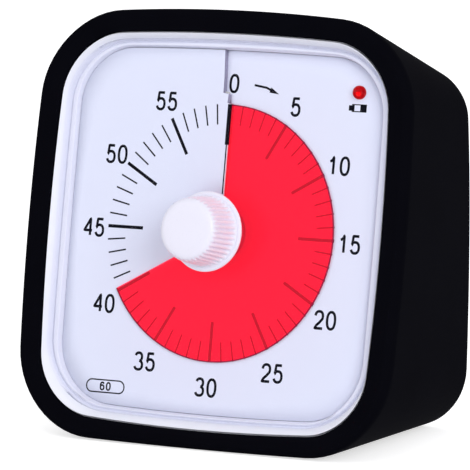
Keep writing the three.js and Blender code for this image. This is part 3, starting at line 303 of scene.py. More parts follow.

# %% [markdown]
# ## Making pieces
# Every piece starts in a bmesh, in millimetres. The helper below takes it to its place, turns its faces
# outwards, keeps real corners sharp and everything else smooth, tells the frame which body it rides on and
# hides the CAD nodes that it stands for.

# %% From bmesh to a finished piece


def as_object(name, bm):
    """A linked object with the shape of a bmesh, which is used up."""
    mesh = bpy.data.meshes.new(name)
    bm.to_mesh(mesh)
    bm.free()
    made = bpy.data.objects.new(name, mesh)
    bpy.context.collection.objects.link(made)
    return made


def finish_piece(name, bm, place, material, body, stands_for=(), sharp_degrees=35):
    """A finished piece of the timer, in its place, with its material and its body."""
    bm.transform(place)
    bmesh.ops.remove_doubles(bm, verts=bm.verts, dist=1e-7)
    bmesh.ops.recalc_face_normals(bm, faces=bm.faces)
    for face in bm.faces:
        face.smooth = True
    for edge in bm.edges:
        edge.smooth = len(edge.link_faces) != 2 or edge.calc_face_angle() < math.radians(sharp_degrees)
    made = as_object(name, bm)
    made.data.materials.append(material)
    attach(made, body)
    if stands_for:
        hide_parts(*stands_for)
    print(name, len(made.data.polygons), "faces")
    return made


# %% [markdown]
# ## Outlines with bowed sides
# The case, its opening and the dial share one kind of outline: a rectangle with large round corners whose
# sides bow out a little. A square is stretched, its corners are bevelled with a vertex bevel, the straight
# sides are subdivided, and their points are then moved along a shallow curve.

# %% The outline helper
CORNER_STEPS = 14
SIDE_STEPS = 21


def outline(half_width, top, bottom, top_corner, bottom_corner, side_bow, top_bow, bottom_bow, inset=0.0):
    """One flat loop of points round the dial's middle, as a mesh, drawn in by the inset."""
    bm = bmesh.new()
    half_width, top, bottom = half_width - inset, top - inset, bottom - inset
    bmesh.ops.create_grid(bm, x_segments=1, y_segments=1, size=1.0)
    for v in bm.verts:
        v.co = (half_width * v.co.x, (top if v.co.y > 0 else bottom) * v.co.y, 0)
    for side, radius in ((1, top_corner - inset), (-1, bottom_corner - inset)):
        corners = [v for v in bm.verts if v.co.y * side > 0]
        bmesh.ops.bevel(bm, geom=corners, offset=radius, segments=CORNER_STEPS, profile=0.5,
                        affect="VERTICES", material=-1)
    straight = sorted(bm.edges, key=lambda e: -e.calc_length())[:4]
    bmesh.ops.subdivide_edges(bm, edges=straight, cuts=SIDE_STEPS)
    for v in bm.verts:
        across, up = v.co.x / half_width, abs(v.co.y) / (top if v.co.y > 0 else bottom)
        v.co.x -= side_bow * up * up * across
        v.co.y -= (top_bow if v.co.y > 0 else -bottom_bow) * across * across * up
    bmesh.ops.delete(bm, geom=list(bm.faces), context="FACES_ONLY")
    mesh = bpy.data.meshes.new("outline")
    bm.to_mesh(mesh)
    bm.free()
    return mesh


# How far the dial and its bands stand to the right of the case's middle and above it, and the opening too
ASIDE, RAISED = 0.2, 0.3
OPENING_ASIDE = -0.05
CASE = dict(half_width=46.85, top=48.35, top_corner=18.5, bottom_corner=18.7,
            side_bow=1.7, top_bow=2.6, bottom_bow=0.75)
BACK = dict(half_width=38.9, top=34.0, bottom=45.8, top_corner=10.2, bottom_corner=13.5,
            side_bow=0.95, top_bow=0.85, bottom_bow=0.0)
OPENING = dict(half_width=41.5, top=42.95, bottom=43.3, top_corner=14.0, bottom_corner=13.0,
               side_bow=1.6, top_bow=1.75, bottom_bow=1.9)
GROOVE = dict(half_width=40.0, top=41.15, bottom=41.05, top_corner=13.4, bottom_corner=15.0,
              side_bow=0.6, top_bow=1.7, bottom_bow=1.2)
DIAL = dict(half_width=37.85, top=39.5, bottom=39.8, top_corner=12.6, bottom_corner=13.2,
            side_bow=0.4, top_bow=0.9, bottom_bow=1.15)


def case_loop(z, inset):
    """The outside of the case in a plane at this height over the dial; its foot stays on the table."""
    foot = (DIAL_HEIGHT + z * math.sin(LEAN)) / math.cos(LEAN)
    return outline(bottom=foot, inset=inset, **CASE), lambda p: on_face(p.x, p.y, z)


def back_loop(depth, inset):
    """The outside of the case at its upright back."""
    return outline(inset=inset, **BACK), lambda p: Vector((p.x, depth, p.y))


def face_loop(sizes, z, inset, aside=ASIDE):
    """A loop on the face, at this height over the dial."""
    return outline(inset=inset, **sizes), lambda p: on_face(p.x + aside, p.y + RAISED, z)


def opening_loop(z, inset):
    """The edge of the sleeve's opening."""
    return face_loop(OPENING, z, inset, OPENING_ASIDE)


def groove_loop(z, inset):
    """The fine groove between the two bands of the bezel."""
    return face_loop(GROOVE, z, inset)


def dial_loop(z, inset):
    """The edge of the dial."""
    return face_loop(DIAL, z, inset)


print("points in an outline:", len(case_loop(0, 0)[0].vertices))

# %% [markdown]
# ## Shells from rings
# Sleeve and case are shells: rings one behind the other, bridged into a skin that runs outside, over the
# edge and back inside. They are bridged as an even stack, where it is plain which points belong together, and
# then moved to their places. Each ring carries a weight that tells a Bevel modifier how far to round it there.

# %% Bridging rings
EVEN_RING = outline(40, 40, 40, 10, 10, 0, 0, 0)
EVEN_STEP = 10
print("points in an even ring:", len(EVEN_RING.vertices))


def bridged(rings, closed=True):
    """A skin over a row of (outline, place, rounding in mm), and the widest rounding."""
    bm = bmesh.new()
    weight = bm.edges.layers.float.new("bevel_weight_edge")
    widest = max(rounding for _, rounding in rings) or 1.0
    loops, places = [], []
    for level, ((flat, put), rounding) in enumerate(rings):
        first_point, first_edge = len(bm.verts), len(bm.edges)
        bm.from_mesh(flat)
        bm.verts.ensure_lookup_table()
        bm.edges.ensure_lookup_table()
        for v, even in zip(bm.verts[first_point:], EVEN_RING.vertices):
            places.append((v, put(v.co.copy())))
            v.co = (even.co.x, even.co.y, EVEN_STEP * level)
        loops.append(bm.edges[first_edge:])
        for edge in loops[-1]:
            edge[weight] = rounding / widest
    followers = loops[1:] + (loops[:1] if closed else [])
    for one, other in zip(loops, followers):
        bmesh.ops.bridge_loops(bm, edges=list(one) + list(other))
    for v, spot in places:
        v.co = spot
    return bm, widest


def rounded(made, widest, segments=4):
    """A live Bevel modifier that follows the weights of the rings."""
    bevel = made.modifiers.new("rounding", "BEVEL")
    bevel.limit_method = "WEIGHT"
    bevel.width = widest * MM
    bevel.segments = segments
    bevel.use_clamp_overlap = False
    bevel.harden_normals = True


# %% [markdown]
# ## Silicone sleeve
# One soft moulding, about 2 mm thick, stretched over the case. It has a crowned lip round the dial, a long
# taper to the back, and a window in its back for the door and the screws.

# %% Sleeve
LIP_HEIGHT = 5.0
LIP_EDGE = 4.3
SHOULDER = 3.0
BACK_DEPTH = 43.0
SLEEVE_WALL = 2.0
BACK_LEDGE = 3.75
sleeve_rings = [
    (opening_loop(SHOULDER, 0), 0.0),
    (opening_loop(LIP_EDGE, 0), 0.4),
    (case_loop(LIP_HEIGHT, 1.5), 0.5),
    (case_loop(LIP_EDGE, 0.35), 0.5),
    (case_loop(SHOULDER, 0), 0.7),
    (back_loop(BACK_DEPTH, 0), 1.3),
    (back_loop(BACK_DEPTH, BACK_LEDGE), 0.5),
    (back_loop(BACK_DEPTH - SLEEVE_WALL, BACK_LEDGE), 0.0),
    (back_loop(BACK_DEPTH - SLEEVE_WALL, SLEEVE_WALL), 0.0),
    (case_loop(SHOULDER, SLEEVE_WALL), 0.0),
]
sleeve_bm, sleeve_round = bridged(sleeve_rings)
sleeve = finish_piece("sleeve", sleeve_bm, UPRIGHT, silicone, "case", ["silicone_cover"])
rounded(sleeve, sleeve_round)

# %% [markdown]
# ## Bezel
# The front half of the case. Inside its opening two sloped bands step down to the dial, with a fine groove
# between them that catches the shade. A skirt behind them holds the card.

# %% Front half of the case
PARTING_SHARE = 0.3
# Under the sleeve: the outside of the case and its inside, the height of its front and the width of its gap
SKIRT_OUTSIDE, SKIRT_INSIDE, FRONT_HEIGHT, GAP = 2.3, 4.3, 2.7, 0.3
CARD_LEDGE = 2.0
GROOVE_FLOOR = 0.95


def wall_loop(share, inset):
    """A loop of the wall between the face and the back, at a share of the way."""
    front, put_front = case_loop(SHOULDER, inset)
    back, put_back = back_loop(BACK_DEPTH - inset, inset)
    ends = [(put_front(a.co), put_back(b.co)) for a, b in zip(front.vertices, back.vertices)]
    for v, (near, far) in zip(front.vertices, ends):
        v.co = near.lerp(far, share)
    return front, lambda p: p


bezel_rings = [
    (wall_loop(PARTING_SHARE, SKIRT_OUTSIDE), 0.0),
    (case_loop(FRONT_HEIGHT, SKIRT_OUTSIDE), 0.0),
    (opening_loop(FRONT_HEIGHT, GAP), 0.0),
    (opening_loop(4.1, GAP), 0.3),
    (groove_loop(1.9, -0.3), 0.2),
    (groove_loop(GROOVE_FLOOR, 0.0), 0.15),
    (groove_loop(GROOVE_FLOOR, 0.2), 0.15),
    (groove_loop(1.7, 0.52), 0.25),
    (dial_loop(1.8, -0.42), 0.3),
    (dial_loop(0.1, -0.08), 0.0),
    (dial_loop(0, 0), 0.0),
    (dial_loop(-CARD_LEDGE, 0), 0.0),
    (dial_loop(-CARD_LEDGE, -1.9), 0.0),
    (dial_loop(0, -1.9), 0.0),
    (case_loop(0.7, SKIRT_INSIDE), 0.0),
    (wall_loop(PARTING_SHARE, SKIRT_INSIDE), 0.0),
]
bezel_bm, bezel_round = bridged(bezel_rings)
bezel = finish_piece("bezel", bezel_bm, UPRIGHT, abs_case, "case", ["front_housing"])
rounded(bezel, bezel_round, segments=3)

# %% [markdown]
# ## Dial card
# The card is one turn of a screw surface: it is cut at twelve o'clock and climbs by 1.2 mm round the dial,
# so that the film can pass through the cut. A radial line is spun round once while it climbs, and its outer
# points are then pulled to the outline of the dial. Outside the film the cut steps to the left, and a low
# wall closes it there.

# %% Spinning a climbing sheet
CLIMB = 1.2
CARD_HALF = 0.25
CARD_HOLE = 6.2
# Radii at which the cut steps to the left
FILM_REACH = 28.05
CUT_REACH = 30.1
STEP_END = 30.4
# How far the three parts of the cut stand right of twelve, and the slant of the last one
RUNS = (0.4, -0.5, -1.75)
RUN_SLANT = 0.05
# What parts the two sides of the cut, and where its steps have faded out, as shares of a turn
CUT_HALF_SHARE = 0.0003
FADE_SHARE = 0.08
# Columns of points that are pulled out to the rim, with their share of the way
OUTER_COLUMNS = {40: 0.35, 50: 0.7, 60: 1.0}
BESIDE = 0.1


def spun_sheet(radii, start, end, steps):
    """A radial line of points, turned clockwise from a share of a turn to another while it climbs."""
    bm = bmesh.new()
    line = [bm.verts.new((0, radius, CLIMB * start)) for radius in radii]
    edges = [bm.edges.new(pair) for pair in zip(line, line[1:])]
    middle = (0, 0, 0)
    bmesh.ops.rotate(bm, verts=line, cent=middle, matrix=Matrix.Rotation(-2 * math.pi * start, 3, "Z"))
    bmesh.ops.spin(bm, geom=line + edges, cent=middle, axis=(0, 0, 1), angle=-2 * math.pi * (end - start),
                   dvec=(0, 0, CLIMB * (end - start) / steps), steps=steps, use_merge=False)
    return bm


dial_rim, _ = dial_loop(0, 0.1)
rim_points = [(v.co.x + ASIDE, v.co.y + RAISED) for v in dial_rim.vertices]
rim_edges = [(rim_points[e.vertices[0]], rim_points[e.vertices[1]]) for e in dial_rim.edges]


def rim_reach(aim):
    """Distance from the middle to the card's rim, in a direction clockwise from twelve."""
    dx, dy = math.sin(aim), math.cos(aim)
    reach = 0.0
    for (ax, ay), (bx, by) in rim_edges:
        ex, ey = bx - ax, by - ay
        turned_by = ex * dy - ey * dx
        if abs(turned_by) < 1e-9:
            continue
        share = (dx * ay - dy * ax) / turned_by
        if -1e-6 <= share <= 1 + 1e-6:
            reach = max(reach, dx * (ax + share * ex) + dy * (ay + share * ey))
    return reach


def cut_aside(turn, radius):
    """How far the cut stands right of twelve o'clock at this radius, in mm; it fades away from the cut."""
    if radius < FILM_REACH + BESIDE:
        run = RUNS[0]
    elif radius < CUT_REACH + BESIDE:
        run = RUNS[1]
    else:
        run = RUNS[2] - RUN_SLANT * (radius - STEP_END)
    return run * max(0.0, 1 - min(turn, 1 - turn) / FADE_SHARE)


def card_height(turn):
    """Height of the card's middle at a share of its turn."""
    return CLIMB * (turn - 0.5)


print("card rim reaches", round(rim_reach(math.pi / 4), 2), "mm at the corner")

# %% Dial card
card_columns = [CARD_HOLE, 13, 19, 24, FILM_REACH, FILM_REACH + 0.2, CUT_REACH, STEP_END, *OUTER_COLUMNS]
card_bm = spun_sheet(card_columns, CUT_HALF_SHARE, 1 - CUT_HALF_SHARE, 360)
cut_edges = [e for e in card_bm.edges
             if all(v.co.y > FILM_REACH + BESIDE and abs(v.co.x) < 0.2 for v in e.verts)]
# The wall that closes the cut gets the second material, a grey of painted shade
for face in bmesh.ops.bridge_loops(card_bm, edges=cut_edges)["faces"]:
    face.material_index = 1
for v in card_bm.verts:
    turn = v.co.z / CLIMB
    column = math.hypot(v.co.x, v.co.y)
    radius = column
    aim = 2 * math.pi * turn
    if column > STEP_END + 1:
        first = min(OUTER_COLUMNS)
        aim += cut_aside(turn, first) / first
        radius = STEP_END + (rim_reach(aim) - STEP_END) * OUTER_COLUMNS[round(column)]
    else:
        aim += cut_aside(turn, column) / column
    v.co = (radius * math.sin(aim), radius * math.cos(aim), card_height(turn))
card = finish_piece("printed_dial", card_bm, FACE, printed_card, "case", ["dial_face"])
# Second material: painted shade on the wall of the cut
card.data.materials.append(painted_shade_cut_wall)
thickness = card.modifiers.new("sheet", "SOLIDIFY")
thickness.thickness = 2 * CARD_HALF * MM
thickness.offset = 0

# %% [markdown]
# ## Red film disk
# The film follows the same screw surface half a climb in front of the card, from the cut to forty minutes.
# The rest of its turn lies hidden behind the card, ready to come out as the knob is wound.

# %% Film
FILM_END = 40.2 / 60
FILM_RADIUS = 28.0
DARK_RIM_WIDTH = 0.25
FILM_THICKNESS = 0.25
film_bm = spun_sheet([5.6, 12, 20, FILM_RADIUS - DARK_RIM_WIDTH, FILM_RADIUS],
                     FILM_END - 1 + CUT_HALF_SHARE, FILM_END - CUT_HALF_SHARE, 300)
# The outermost ring of the film gets the dark rim: dye seen through the edge, and painted shade
for face in film_bm.faces:
    middle = face.calc_center_median()
    face.material_index = int(math.hypot(middle.x, middle.y) > FILM_RADIUS - DARK_RIM_WIDTH)
film = finish_piece("red_film", film_bm, FACE, red_film, "disk", ["time_disk"])
film.data.materials.append(film_rim_dye_and_shade)
sheet = film.modifiers.new("sheet", "SOLIDIFY")
sheet.thickness = FILM_THICKNESS * MM
sheet.offset = 0

# %% [markdown]
# ## Printed marks
# Sixty ticks, the numerals every five minutes, a small arrow, a cell symbol and a rounded frame are screen
# printed. Each is drawn flat, laid on the climbing card, and made just thick enough to count as a solid.

# %% Laying print on the card
PRINT_HALF = 0.02


def turn_at(x, y):
    """The share of a turn of the card under a point of the face."""
    radius = math.hypot(x, y)
    aim = math.atan2(x, y) / (2 * math.pi)
    return (aim - cut_aside(abs(aim), radius) / (2 * math.pi * radius)) % 1.0


def laid(bm):
    """Moves flat print, drawn round height zero, onto the front of the card."""
    for v in bm.verts:
        v.co.z += card_height(turn_at(v.co.x, v.co.y)) + CARD_HALF + PRINT_HALF / 2
    return bm


def tick(bm, minute, inner, outer, left, width):
    """A bar along a radius, its left side so far beside the radius."""
    turned = Matrix.Rotation(-2 * math.pi * minute / 60, 4, "Z")
    size = Matrix.Diagonal((width, outer - inner, 2 * PRINT_HALF, 1))
    bar = Matrix.Translation((left + width / 2, (inner + outer) / 2, 0))
    return bmesh.ops.create_cube(bm, size=1.0, matrix=turned @ bar @ size)["verts"]


# Where a tick starts, and its width
LONG_TICK, SHORT_TICK = (19.2, 0.72), (23.6, 0.33)
tick_bm = bmesh.new()
for minute in range(1, 60):
    inner, width = LONG_TICK if minute % 5 == 0 else SHORT_TICK
    tick(tick_bm, minute, inner, FILM_RADIUS, -width / 2, width)
# A thin dark line along the edge of the cut, from near the knob out to the long mark at zero
tick(tick_bm, 0, 8.5, LONG_TICK[0] + 0.1, 0.0, 0.3)
laid(tick_bm)
# The mark at zero wraps over the edge of the cut
edge_mark = tick(tick_bm, 0, LONG_TICK[0], FILM_RADIUS, -0.26, LONG_TICK[1])
for v in edge_mark:
    v.co.z += card_height(1) + (CARD_HALF if v.co.z > 0 else -CARD_HALF)
finish_piece("dial_ticks", tick_bm, FACE, ink, "case")

# %% [markdown]
# ## Numerals
# Numerals are drawn as strokes: a pen path for each digit, as a curve with a round pen, made a mesh and
# pressed flat. This gives the plain narrow digits of an instrument dial.

# %% Pen paths of the digits


def arc(cx, cy, rx, ry, start, end, steps=14):
    """Points of a squarish arc between two angles in degrees, in shares of the digit's box."""
    points = []
    for k in range(steps + 1):
        a = math.radians(start + (end - start) * k / steps)
        c, s = math.cos(a), math.sin(a)
        points.append((cx + rx * math.copysign(abs(c) ** 0.86, c), cy + ry * math.copysign(abs(s) ** 0.86, s)))
    return points


DIGIT_PATHS = {
    "0": [arc(0.5, 0.5, 0.5, 0.5, 90, 450, 40)],
    "1": [[(0.13, 0.74), (0.32, 0.78), (0.48, 0.87), (0.58, 1.0), (0.58, 0.0)]],
    "2": [arc(0.49, 0.71, 0.47, 0.29, 176, -28) + [(0.55, 0.34), (0.2, 0.18), (0.02, 0.0), (0.98, 0.0)]],
    "3": [arc(0.47, 0.755, 0.42, 0.245, 165, -75), arc(0.47, 0.265, 0.5, 0.265, 82, -165)],
    "4": [[(0.78, 0.0), (0.78, 1.0), (0.0, 0.29), (1.02, 0.29)]],
    "5": [[(0.92, 1.0), (0.2, 1.0), (0.1, 0.47)] + arc(0.47, 0.325, 0.5, 0.325, 140, -162)],
    "6": [[(0.93, 0.82), (0.8, 0.96), (0.55, 1.0)] + arc(0.5, 0.5, 0.5, 0.5, 96, 190)
          + arc(0.5, 0.31, 0.48, 0.31, 180, 540, 30)],
}


print("digits drawn:", len(DIGIT_PATHS))


def squared(path):
    """The same path with two more points in each long stroke, which keep its full width up to the corners."""
    full = [path[0]]
    for a, b in zip(path, path[1:]):
        if math.dist(a, b) > 0.15:
            full += [(a[0] + (b[0] - a[0]) * share, a[1] + (b[1] - a[1]) * share) for share in (0.04, 0.96)]
        full.append(b)
    return full


def written(text, middle, height, width, gap, pen):
    """A number in strokes round its middle, as flat solid print."""
    data = bpy.data.curves.new("strokes", "CURVE")
    data.dimensions = "3D"
    data.bevel_depth = pen / 2
    data.bevel_resolution = 2
    data.use_fill_caps = True
    tall, wide = height - pen, width - pen
    left = middle[0] - (len(text) * width + (len(text) - 1) * gap) / 2 + pen / 2
    for k, digit in enumerate(text):
        for path in map(squared, DIGIT_PATHS[digit]):
            spline = data.splines.new("POLY")
            spline.points.add(len(path) - 1)
            for point, (x, y) in zip(spline.points, path):
                point.co = (left + k * (width + gap) + x * wide, middle[1] - tall / 2 + y * tall, 0, 1)
    writer = bpy.data.objects.new("strokes", data)
    mesh = bpy.data.meshes.new_from_object(writer)
    bm = bmesh.new()
    bm.from_mesh(mesh)
    bmesh.ops.scale(bm, verts=bm.verts, vec=(1, 1, 2 * PRINT_HALF / pen))
    bpy.data.objects.remove(writer)
    return bm


def join_into(target, source):
    """Adds one bmesh to another."""
    mesh = bpy.data.meshes.new("joined")
    source.to_mesh(mesh)
    source.free()
    target.from_mesh(mesh)


# %% Numerals round the dial
NUMERALS = {0: (0.2, 32.6), 5: (15.9, 28.2), 10: (27.6, 16.1), 15: (31.75, -0.5), 20: (27.45, -17.0),
            25: (15.7, -29.25), 30: (-0.35, -33.5), 35: (-16.1, -29.0), 40: (-27.55, -17.0),
            45: (-31.65, -0.5), 50: (-27.3, 15.8), 55: (-15.7, 27.95)}
numeral_bm = bmesh.new()
for minute, middle in NUMERALS.items():
    join_into(numeral_bm, written(str(minute), middle, height=4.25, width=2.5, gap=0.42, pen=0.6))
finish_piece("dial_numerals", laid(numeral_bm), FACE, ink, "case")

# %% [markdown]
# ## Small symbols
# Beside the zero a small arrow shows which way the minutes count. A cell symbol stands below the lamp, which
# warns of a weak cell, and a rounded frame at the bottom left holds the range of the timer.

# %% Arrow, cell symbol and rounded frame
symbol_bm = bmesh.new()


def ink_bar(x_low, x_high, y_low, y_high):
    """A flat rectangle of print."""
    size = Matrix.Diagonal((x_high - x_low, y_high - y_low, 2 * PRINT_HALF, 1))
    bmesh.ops.create_cube(symbol_bm, size=1.0,
                          matrix=Matrix.Translation(((x_low + x_high) / 2, (y_low + y_high) / 2, 0)) @ size)


def ink_shape(points):
    """A flat polygon of print."""
    corners = [symbol_bm.verts.new((x, y, -PRINT_HALF)) for x, y in points]
    face = symbol_bm.faces.new(corners)
    raised = bmesh.ops.extrude_face_region(symbol_bm, geom=[face])
    tops = [g for g in raised["geom"] if isinstance(g, bmesh.types.BMVert)]
    bmesh.ops.translate(symbol_bm, verts=tops, vec=(0, 0, 2 * PRINT_HALF))


# Shaft and head of the arrow
ink_shape([(5.3, 32.72), (5.26, 32.24), (8.3, 31.8), (9.4, 31.32), (9.5, 31.76), (8.4, 32.26)])
ink_shape([(9.45, 32.15), (9.1, 31.02), (11.5, 30.75)])
# Terminal, left bar, bottom and top line, and right bar of the cell
ink_bar(28.85, 29.75, 28.05, 29.2)
ink_bar(29.6, 30.2, 27.8, 29.5)
ink_bar(30.1, 31.7, 27.8, 28.02)
ink_bar(30.1, 31.7, 29.28, 29.5)
ink_bar(31.62, 33.15, 27.8, 29.5)

LOZENGE = (-25.5, -35.1)
LOZENGE_SIZES = (4.9, 1.5, 1.5, 1.45, 1.45, 0, 0, 0)
frame_outer = outline(*LOZENGE_SIZES)
frame_inner = outline(*LOZENGE_SIZES, inset=0.28)


def frame_at(height):
    """Puts a ring of the rounded frame in its place, at this height."""
    return lambda p: Vector((p.x + LOZENGE[0], p.y + LOZENGE[1], height))


frame_bm, _ = bridged([((frame_outer, frame_at(-PRINT_HALF)), 0), ((frame_outer, frame_at(PRINT_HALF)), 0),
                       ((frame_inner, frame_at(PRINT_HALF)), 0), ((frame_inner, frame_at(-PRINT_HALF)), 0)])
join_into(symbol_bm, frame_bm)
join_into(symbol_bm, written("60", LOZENGE, height=1.95, width=1.25, gap=0.3, pen=0.36))
finish_piece("dial_symbols", laid(symbol_bm), FACE, ink, "case")

# %% [markdown]
# ## Round pieces from rings
# Knob and lamp are bodies of revolution. A circle is extruded ring by ring along the profile; for the knob
# the rings of the grip are waved in and out, which gives its forty fine ribs.

# %% Rings of a round body


def ring_body(profile, segments, ribs=0, rib_depth=0.0):
    """A closed round body through rings of (height, radius, share of the rib depth)."""
    bm = bmesh.new()
    height, radius, _ = profile[0]
    bmesh.ops.create_circle(bm, cap_ends=True, segments=segments, radius=radius,
                            matrix=Matrix.Translation((0, 0, height)))
    rim = list(bm.edges)
    for height, radius, share in profile[1:]:
        made = bmesh.ops.extrude_edge_only(bm, edges=rim)
        rim = [g for g in made["geom"] if isinstance(g, bmesh.types.BMEdge)]
        for v in {v for e in rim for v in e.verts}:
            aim = math.atan2(v.co.y, v.co.x)
            reach = radius - rib_depth * share * (0.5 - 0.5 * math.cos(ribs * aim)) ** 2
            v.co = (reach * math.cos(aim), reach * math.sin(aim), height)
    bmesh.ops.contextual_create(bm, geom=rim)
    return bm


# %% Knob
# The photographed knob stands out a little further than the plain CAD solid
LONGER = 1.3
RIBS = 40
RIB_DEPTH = 0.55
foot, crown = [corner[2] for corner in face_range("knob")]
crown += LONGER
knob_profile = [
    # Underside and rim of the flange
    (foot, 6.4, 0), (foot + 0.2, 6.6, 0), (foot + 1.9, 8.0, 0), (foot + 2.4, 8.5, 0), (foot + 2.6, 8.66, 0),
    (foot + 2.75, 8.7, 0), (foot + 2.9, 8.7, 0), (foot + 3.08, 8.64, 0), (foot + 3.2, 8.5, 0),
    # Front of the flange, with a shallow groove at the foot of the grip
    (foot + 3.28, 8.3, 0), (foot + 3.36, 8.1, 0), (foot + 3.3, 7.95, 0), (foot + 3.3, 7.84, 0),
    # Ribbed grip, whose ribs grow out of the flange and run out at the cap
    (foot + 3.5, 7.74, 0.2), (foot + 3.8, 7.66, 0.7), (foot + 4.15, 7.58, 1), (foot + 5.4, 7.42, 1),
    (foot + 7.8, 7.2, 1), (crown - 2.4, 7.06, 1), (crown - 1.8, 6.99, 0.9), (crown - 1.3, 6.88, 0.6),
    (crown - 0.9, 6.7, 0.3), (crown - 0.6, 6.48, 0.1),
    # Smooth cap
    (crown - 0.35, 6.2, 0), (crown - 0.13, 5.75, 0), (crown, 5.1, 0), (crown, 3, 0), (crown, 1, 0),
]
knob_bm = ring_body(knob_profile, 320, ribs=RIBS, rib_depth=RIB_DEPTH)
finish_piece("winding_knob", knob_bm, FACE, abs_knob, "knob_set", ["knob"])

# %% [markdown]
# ## Status lamp
# A light-emitting diode is a chip in a small reflector cup on a steel post, cast into a round epoxy body
# with a domed top and a flange. All four are modelled, as cup, chip and post show through the dome.

# %% Lamp in its place on the dial
LAMP_PLACE = FACE @ Matrix.Translation((31.25, 32.0, 0))
base, tip = [corner[2] for corner in face_range("status_led")]
led_profile = [(base, 1.85, 0), (base + 0.1, 1.9, 0), (base + 0.8, 1.9, 0), (base + 0.9, 1.85, 0),
               (base + 0.9, 1.5, 0)]
led_profile += [(tip - 1.2 + 0.95 * math.sin(math.radians(a)), max(1.48 * math.cos(math.radians(a)), 0.02), 0)
                for a in range(0, 91, 9)]
finish_piece("status_lamp", ring_body(led_profile, 48), LAMP_PLACE, red_epoxy, "case", ["status_led"])
cup = [(base + 0.3, 0.35, 0), (tip - 1.6, 0.35, 0), (tip - 1.1, 0.85, 0), (tip - 1.05, 0.85, 0),
       (tip - 1.3, 0.4, 0), (tip - 1.32, 0.1, 0)]
finish_piece("lamp_cup", ring_body(cup, 32), LAMP_PLACE, zinc_steel, "case")
chip_bm = bmesh.new()
bmesh.ops.create_cube(chip_bm, size=1.0, matrix=Matrix.Translation((-0.25, -0.25, tip - 1.0))
                      @ Matrix.Diagonal((0.45, 0.45, 0.3, 1)))
# The chip's glow is a painted highlight for the bright spots on the dome
finish_piece("lamp_chip", chip_bm, LAMP_PLACE, chip_painted_highlight, "case")
post_bm = bmesh.new()
bmesh.ops.create_cube(post_bm, size=1.0, matrix=Matrix.Translation((1.0, 0, (base + tip) / 2 - 0.35))
                      @ Matrix.Diagonal((0.35, 0.7, tip - base - 1.3, 1)))
finish_piece("lamp_post", post_bm, LAMP_PLACE, zinc_steel, "case")

# %% [markdown]
# ## Window
# A clear sheet sits on the ledge of the outer band, in front of dial and film. It is a filled outline, two
# rings thick, with a hole bored through it for the knob's hub.

# %% Cutting with round tools


def cutter(radius, depth, place, segments=48):
    """A round cutting tool in its place, as an object."""
    bm = bmesh.new()
    bmesh.ops.create_cone(bm, cap_ends=True, segments=segments, radius1=radius, radius2=radius, depth=depth)
    bm.transform(place)
    return as_object("tool", bm)


def carved(bm, tools):
    """The bmesh less the tools, which are removed."""
    blank = as_object("blank", bm)
    for tool in tools:
        cut = blank.modifiers.new("cut", "BOOLEAN")
        cut.operation = "DIFFERENCE"
        cut.solver = "EXACT"
        cut.object = tool
    bpy.context.view_layer.update()
    result = bpy.data.meshes.new_from_object(blank.evaluated_get(bpy.context.evaluated_depsgraph_get()))
    made = bmesh.new()
    made.from_mesh(result)
    for spare in [blank] + tools:
        bpy.data.objects.remove(spare)
    return made


# %% Clear window
HUB_HOLE = 5.8
LENS_OVERLAP = 0.3
lens_back, lens_front = [corner[2] for corner in face_range("lens")]
lens_rings = [(groove_loop(z, -LENS_OVERLAP), 0) for z in (lens_back, lens_front)]
lens_bm, _ = bridged(lens_rings, closed=False)
bmesh.ops.holes_fill(lens_bm, edges=lens_bm.edges, sides=0)
to_upright = Matrix.Rotation(math.pi / 2 - LEAN, 4, "X") @ Matrix.Translation((0, 0, lens_back))
lens_bm = carved(lens_bm, [cutter(HUB_HOLE, 6, to_upright, 96)])
finish_piece("clear_window", lens_bm, UPRIGHT, clear_acrylic, "case", ["lens"])

# %% [markdown]
# ## Back of the case
# The CAD shell has the right shape, but its small holes are coarse. A merged copy of it is cut again with
# rounder tools, by Boolean modifiers whose result is kept.

# %% Copying a CAD shell


def copy_of(node):
    """A merged copy of a CAD node, in metres."""
    bm = bmesh.new()
    bm.from_mesh(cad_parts[node].data)
    bmesh.ops.remove_doubles(bm, verts=bm.verts, dist=1e-6)
    return bm


# %% Rear half of the case
BUZZER = Vector((-0.012, 0, DIAL_MIDDLE.z * MM + 0.006))
SOUND_HOLE, SOUND_RING = 1.12 * MM, 3.6 * MM
WELL_RADIUS, WELL_TOOL = 2.92, 40
wall_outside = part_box("rear_housing")[1][1]
along_depth = Matrix.Rotation(math.pi / 2, 4, "X")
tools = []
for k in range(7):
    ring = SOUND_RING if k else 0.0
    spot = BUZZER + Vector((ring * math.cos(math.pi * k / 3), wall_outside, ring * math.sin(math.pi * k / 3)))
    tools.append(cutter(SOUND_HOLE, 6 * MM, Matrix.Translation(spot) @ along_depth, 32))
screw_nodes = [f"housing_screw_{k}" for k in (1, 2, 3, 4)]
for node in screw_nodes:
    low, high = face_range(node)
    # The tool ends a little past the screw's head, where the seat is
    spot = FACE @ Matrix.Translation(((low[0] + high[0]) / 2, (low[1] + high[1]) / 2,
                                      low[2] - WELL_TOOL / 2 + 0.3))
    tools.append(cutter(WELL_RADIUS, WELL_TOOL, spot))
rear_bm = carved(copy_of("rear_housing"), tools)
case_back = finish_piece("case_back", rear_bm, Matrix.Identity(4), abs_case, "case",
                         ["rear_housing"], 30)
case_back.modifiers.new("even_shading", "WEIGHTED_NORMAL").keep_sharp = True

# %% [markdown]
# ## Battery door
# A flat lid with soft edges, a thumb notch at its top and a few moulded ribs to push against.

# %% Door
door_low, door_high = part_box("battery_door")


def box_between(bm, low, high):
    """A block between two corners."""
    size = [b - a for a, b in zip(low, high)]
    middle = [(a + b) / 2 for a, b in zip(low, high)]
    made = bmesh.ops.create_cube(bm, size=1.0, matrix=Matrix.Translation(middle) @ Matrix.Diagonal((*size, 1)))
    return made["verts"]


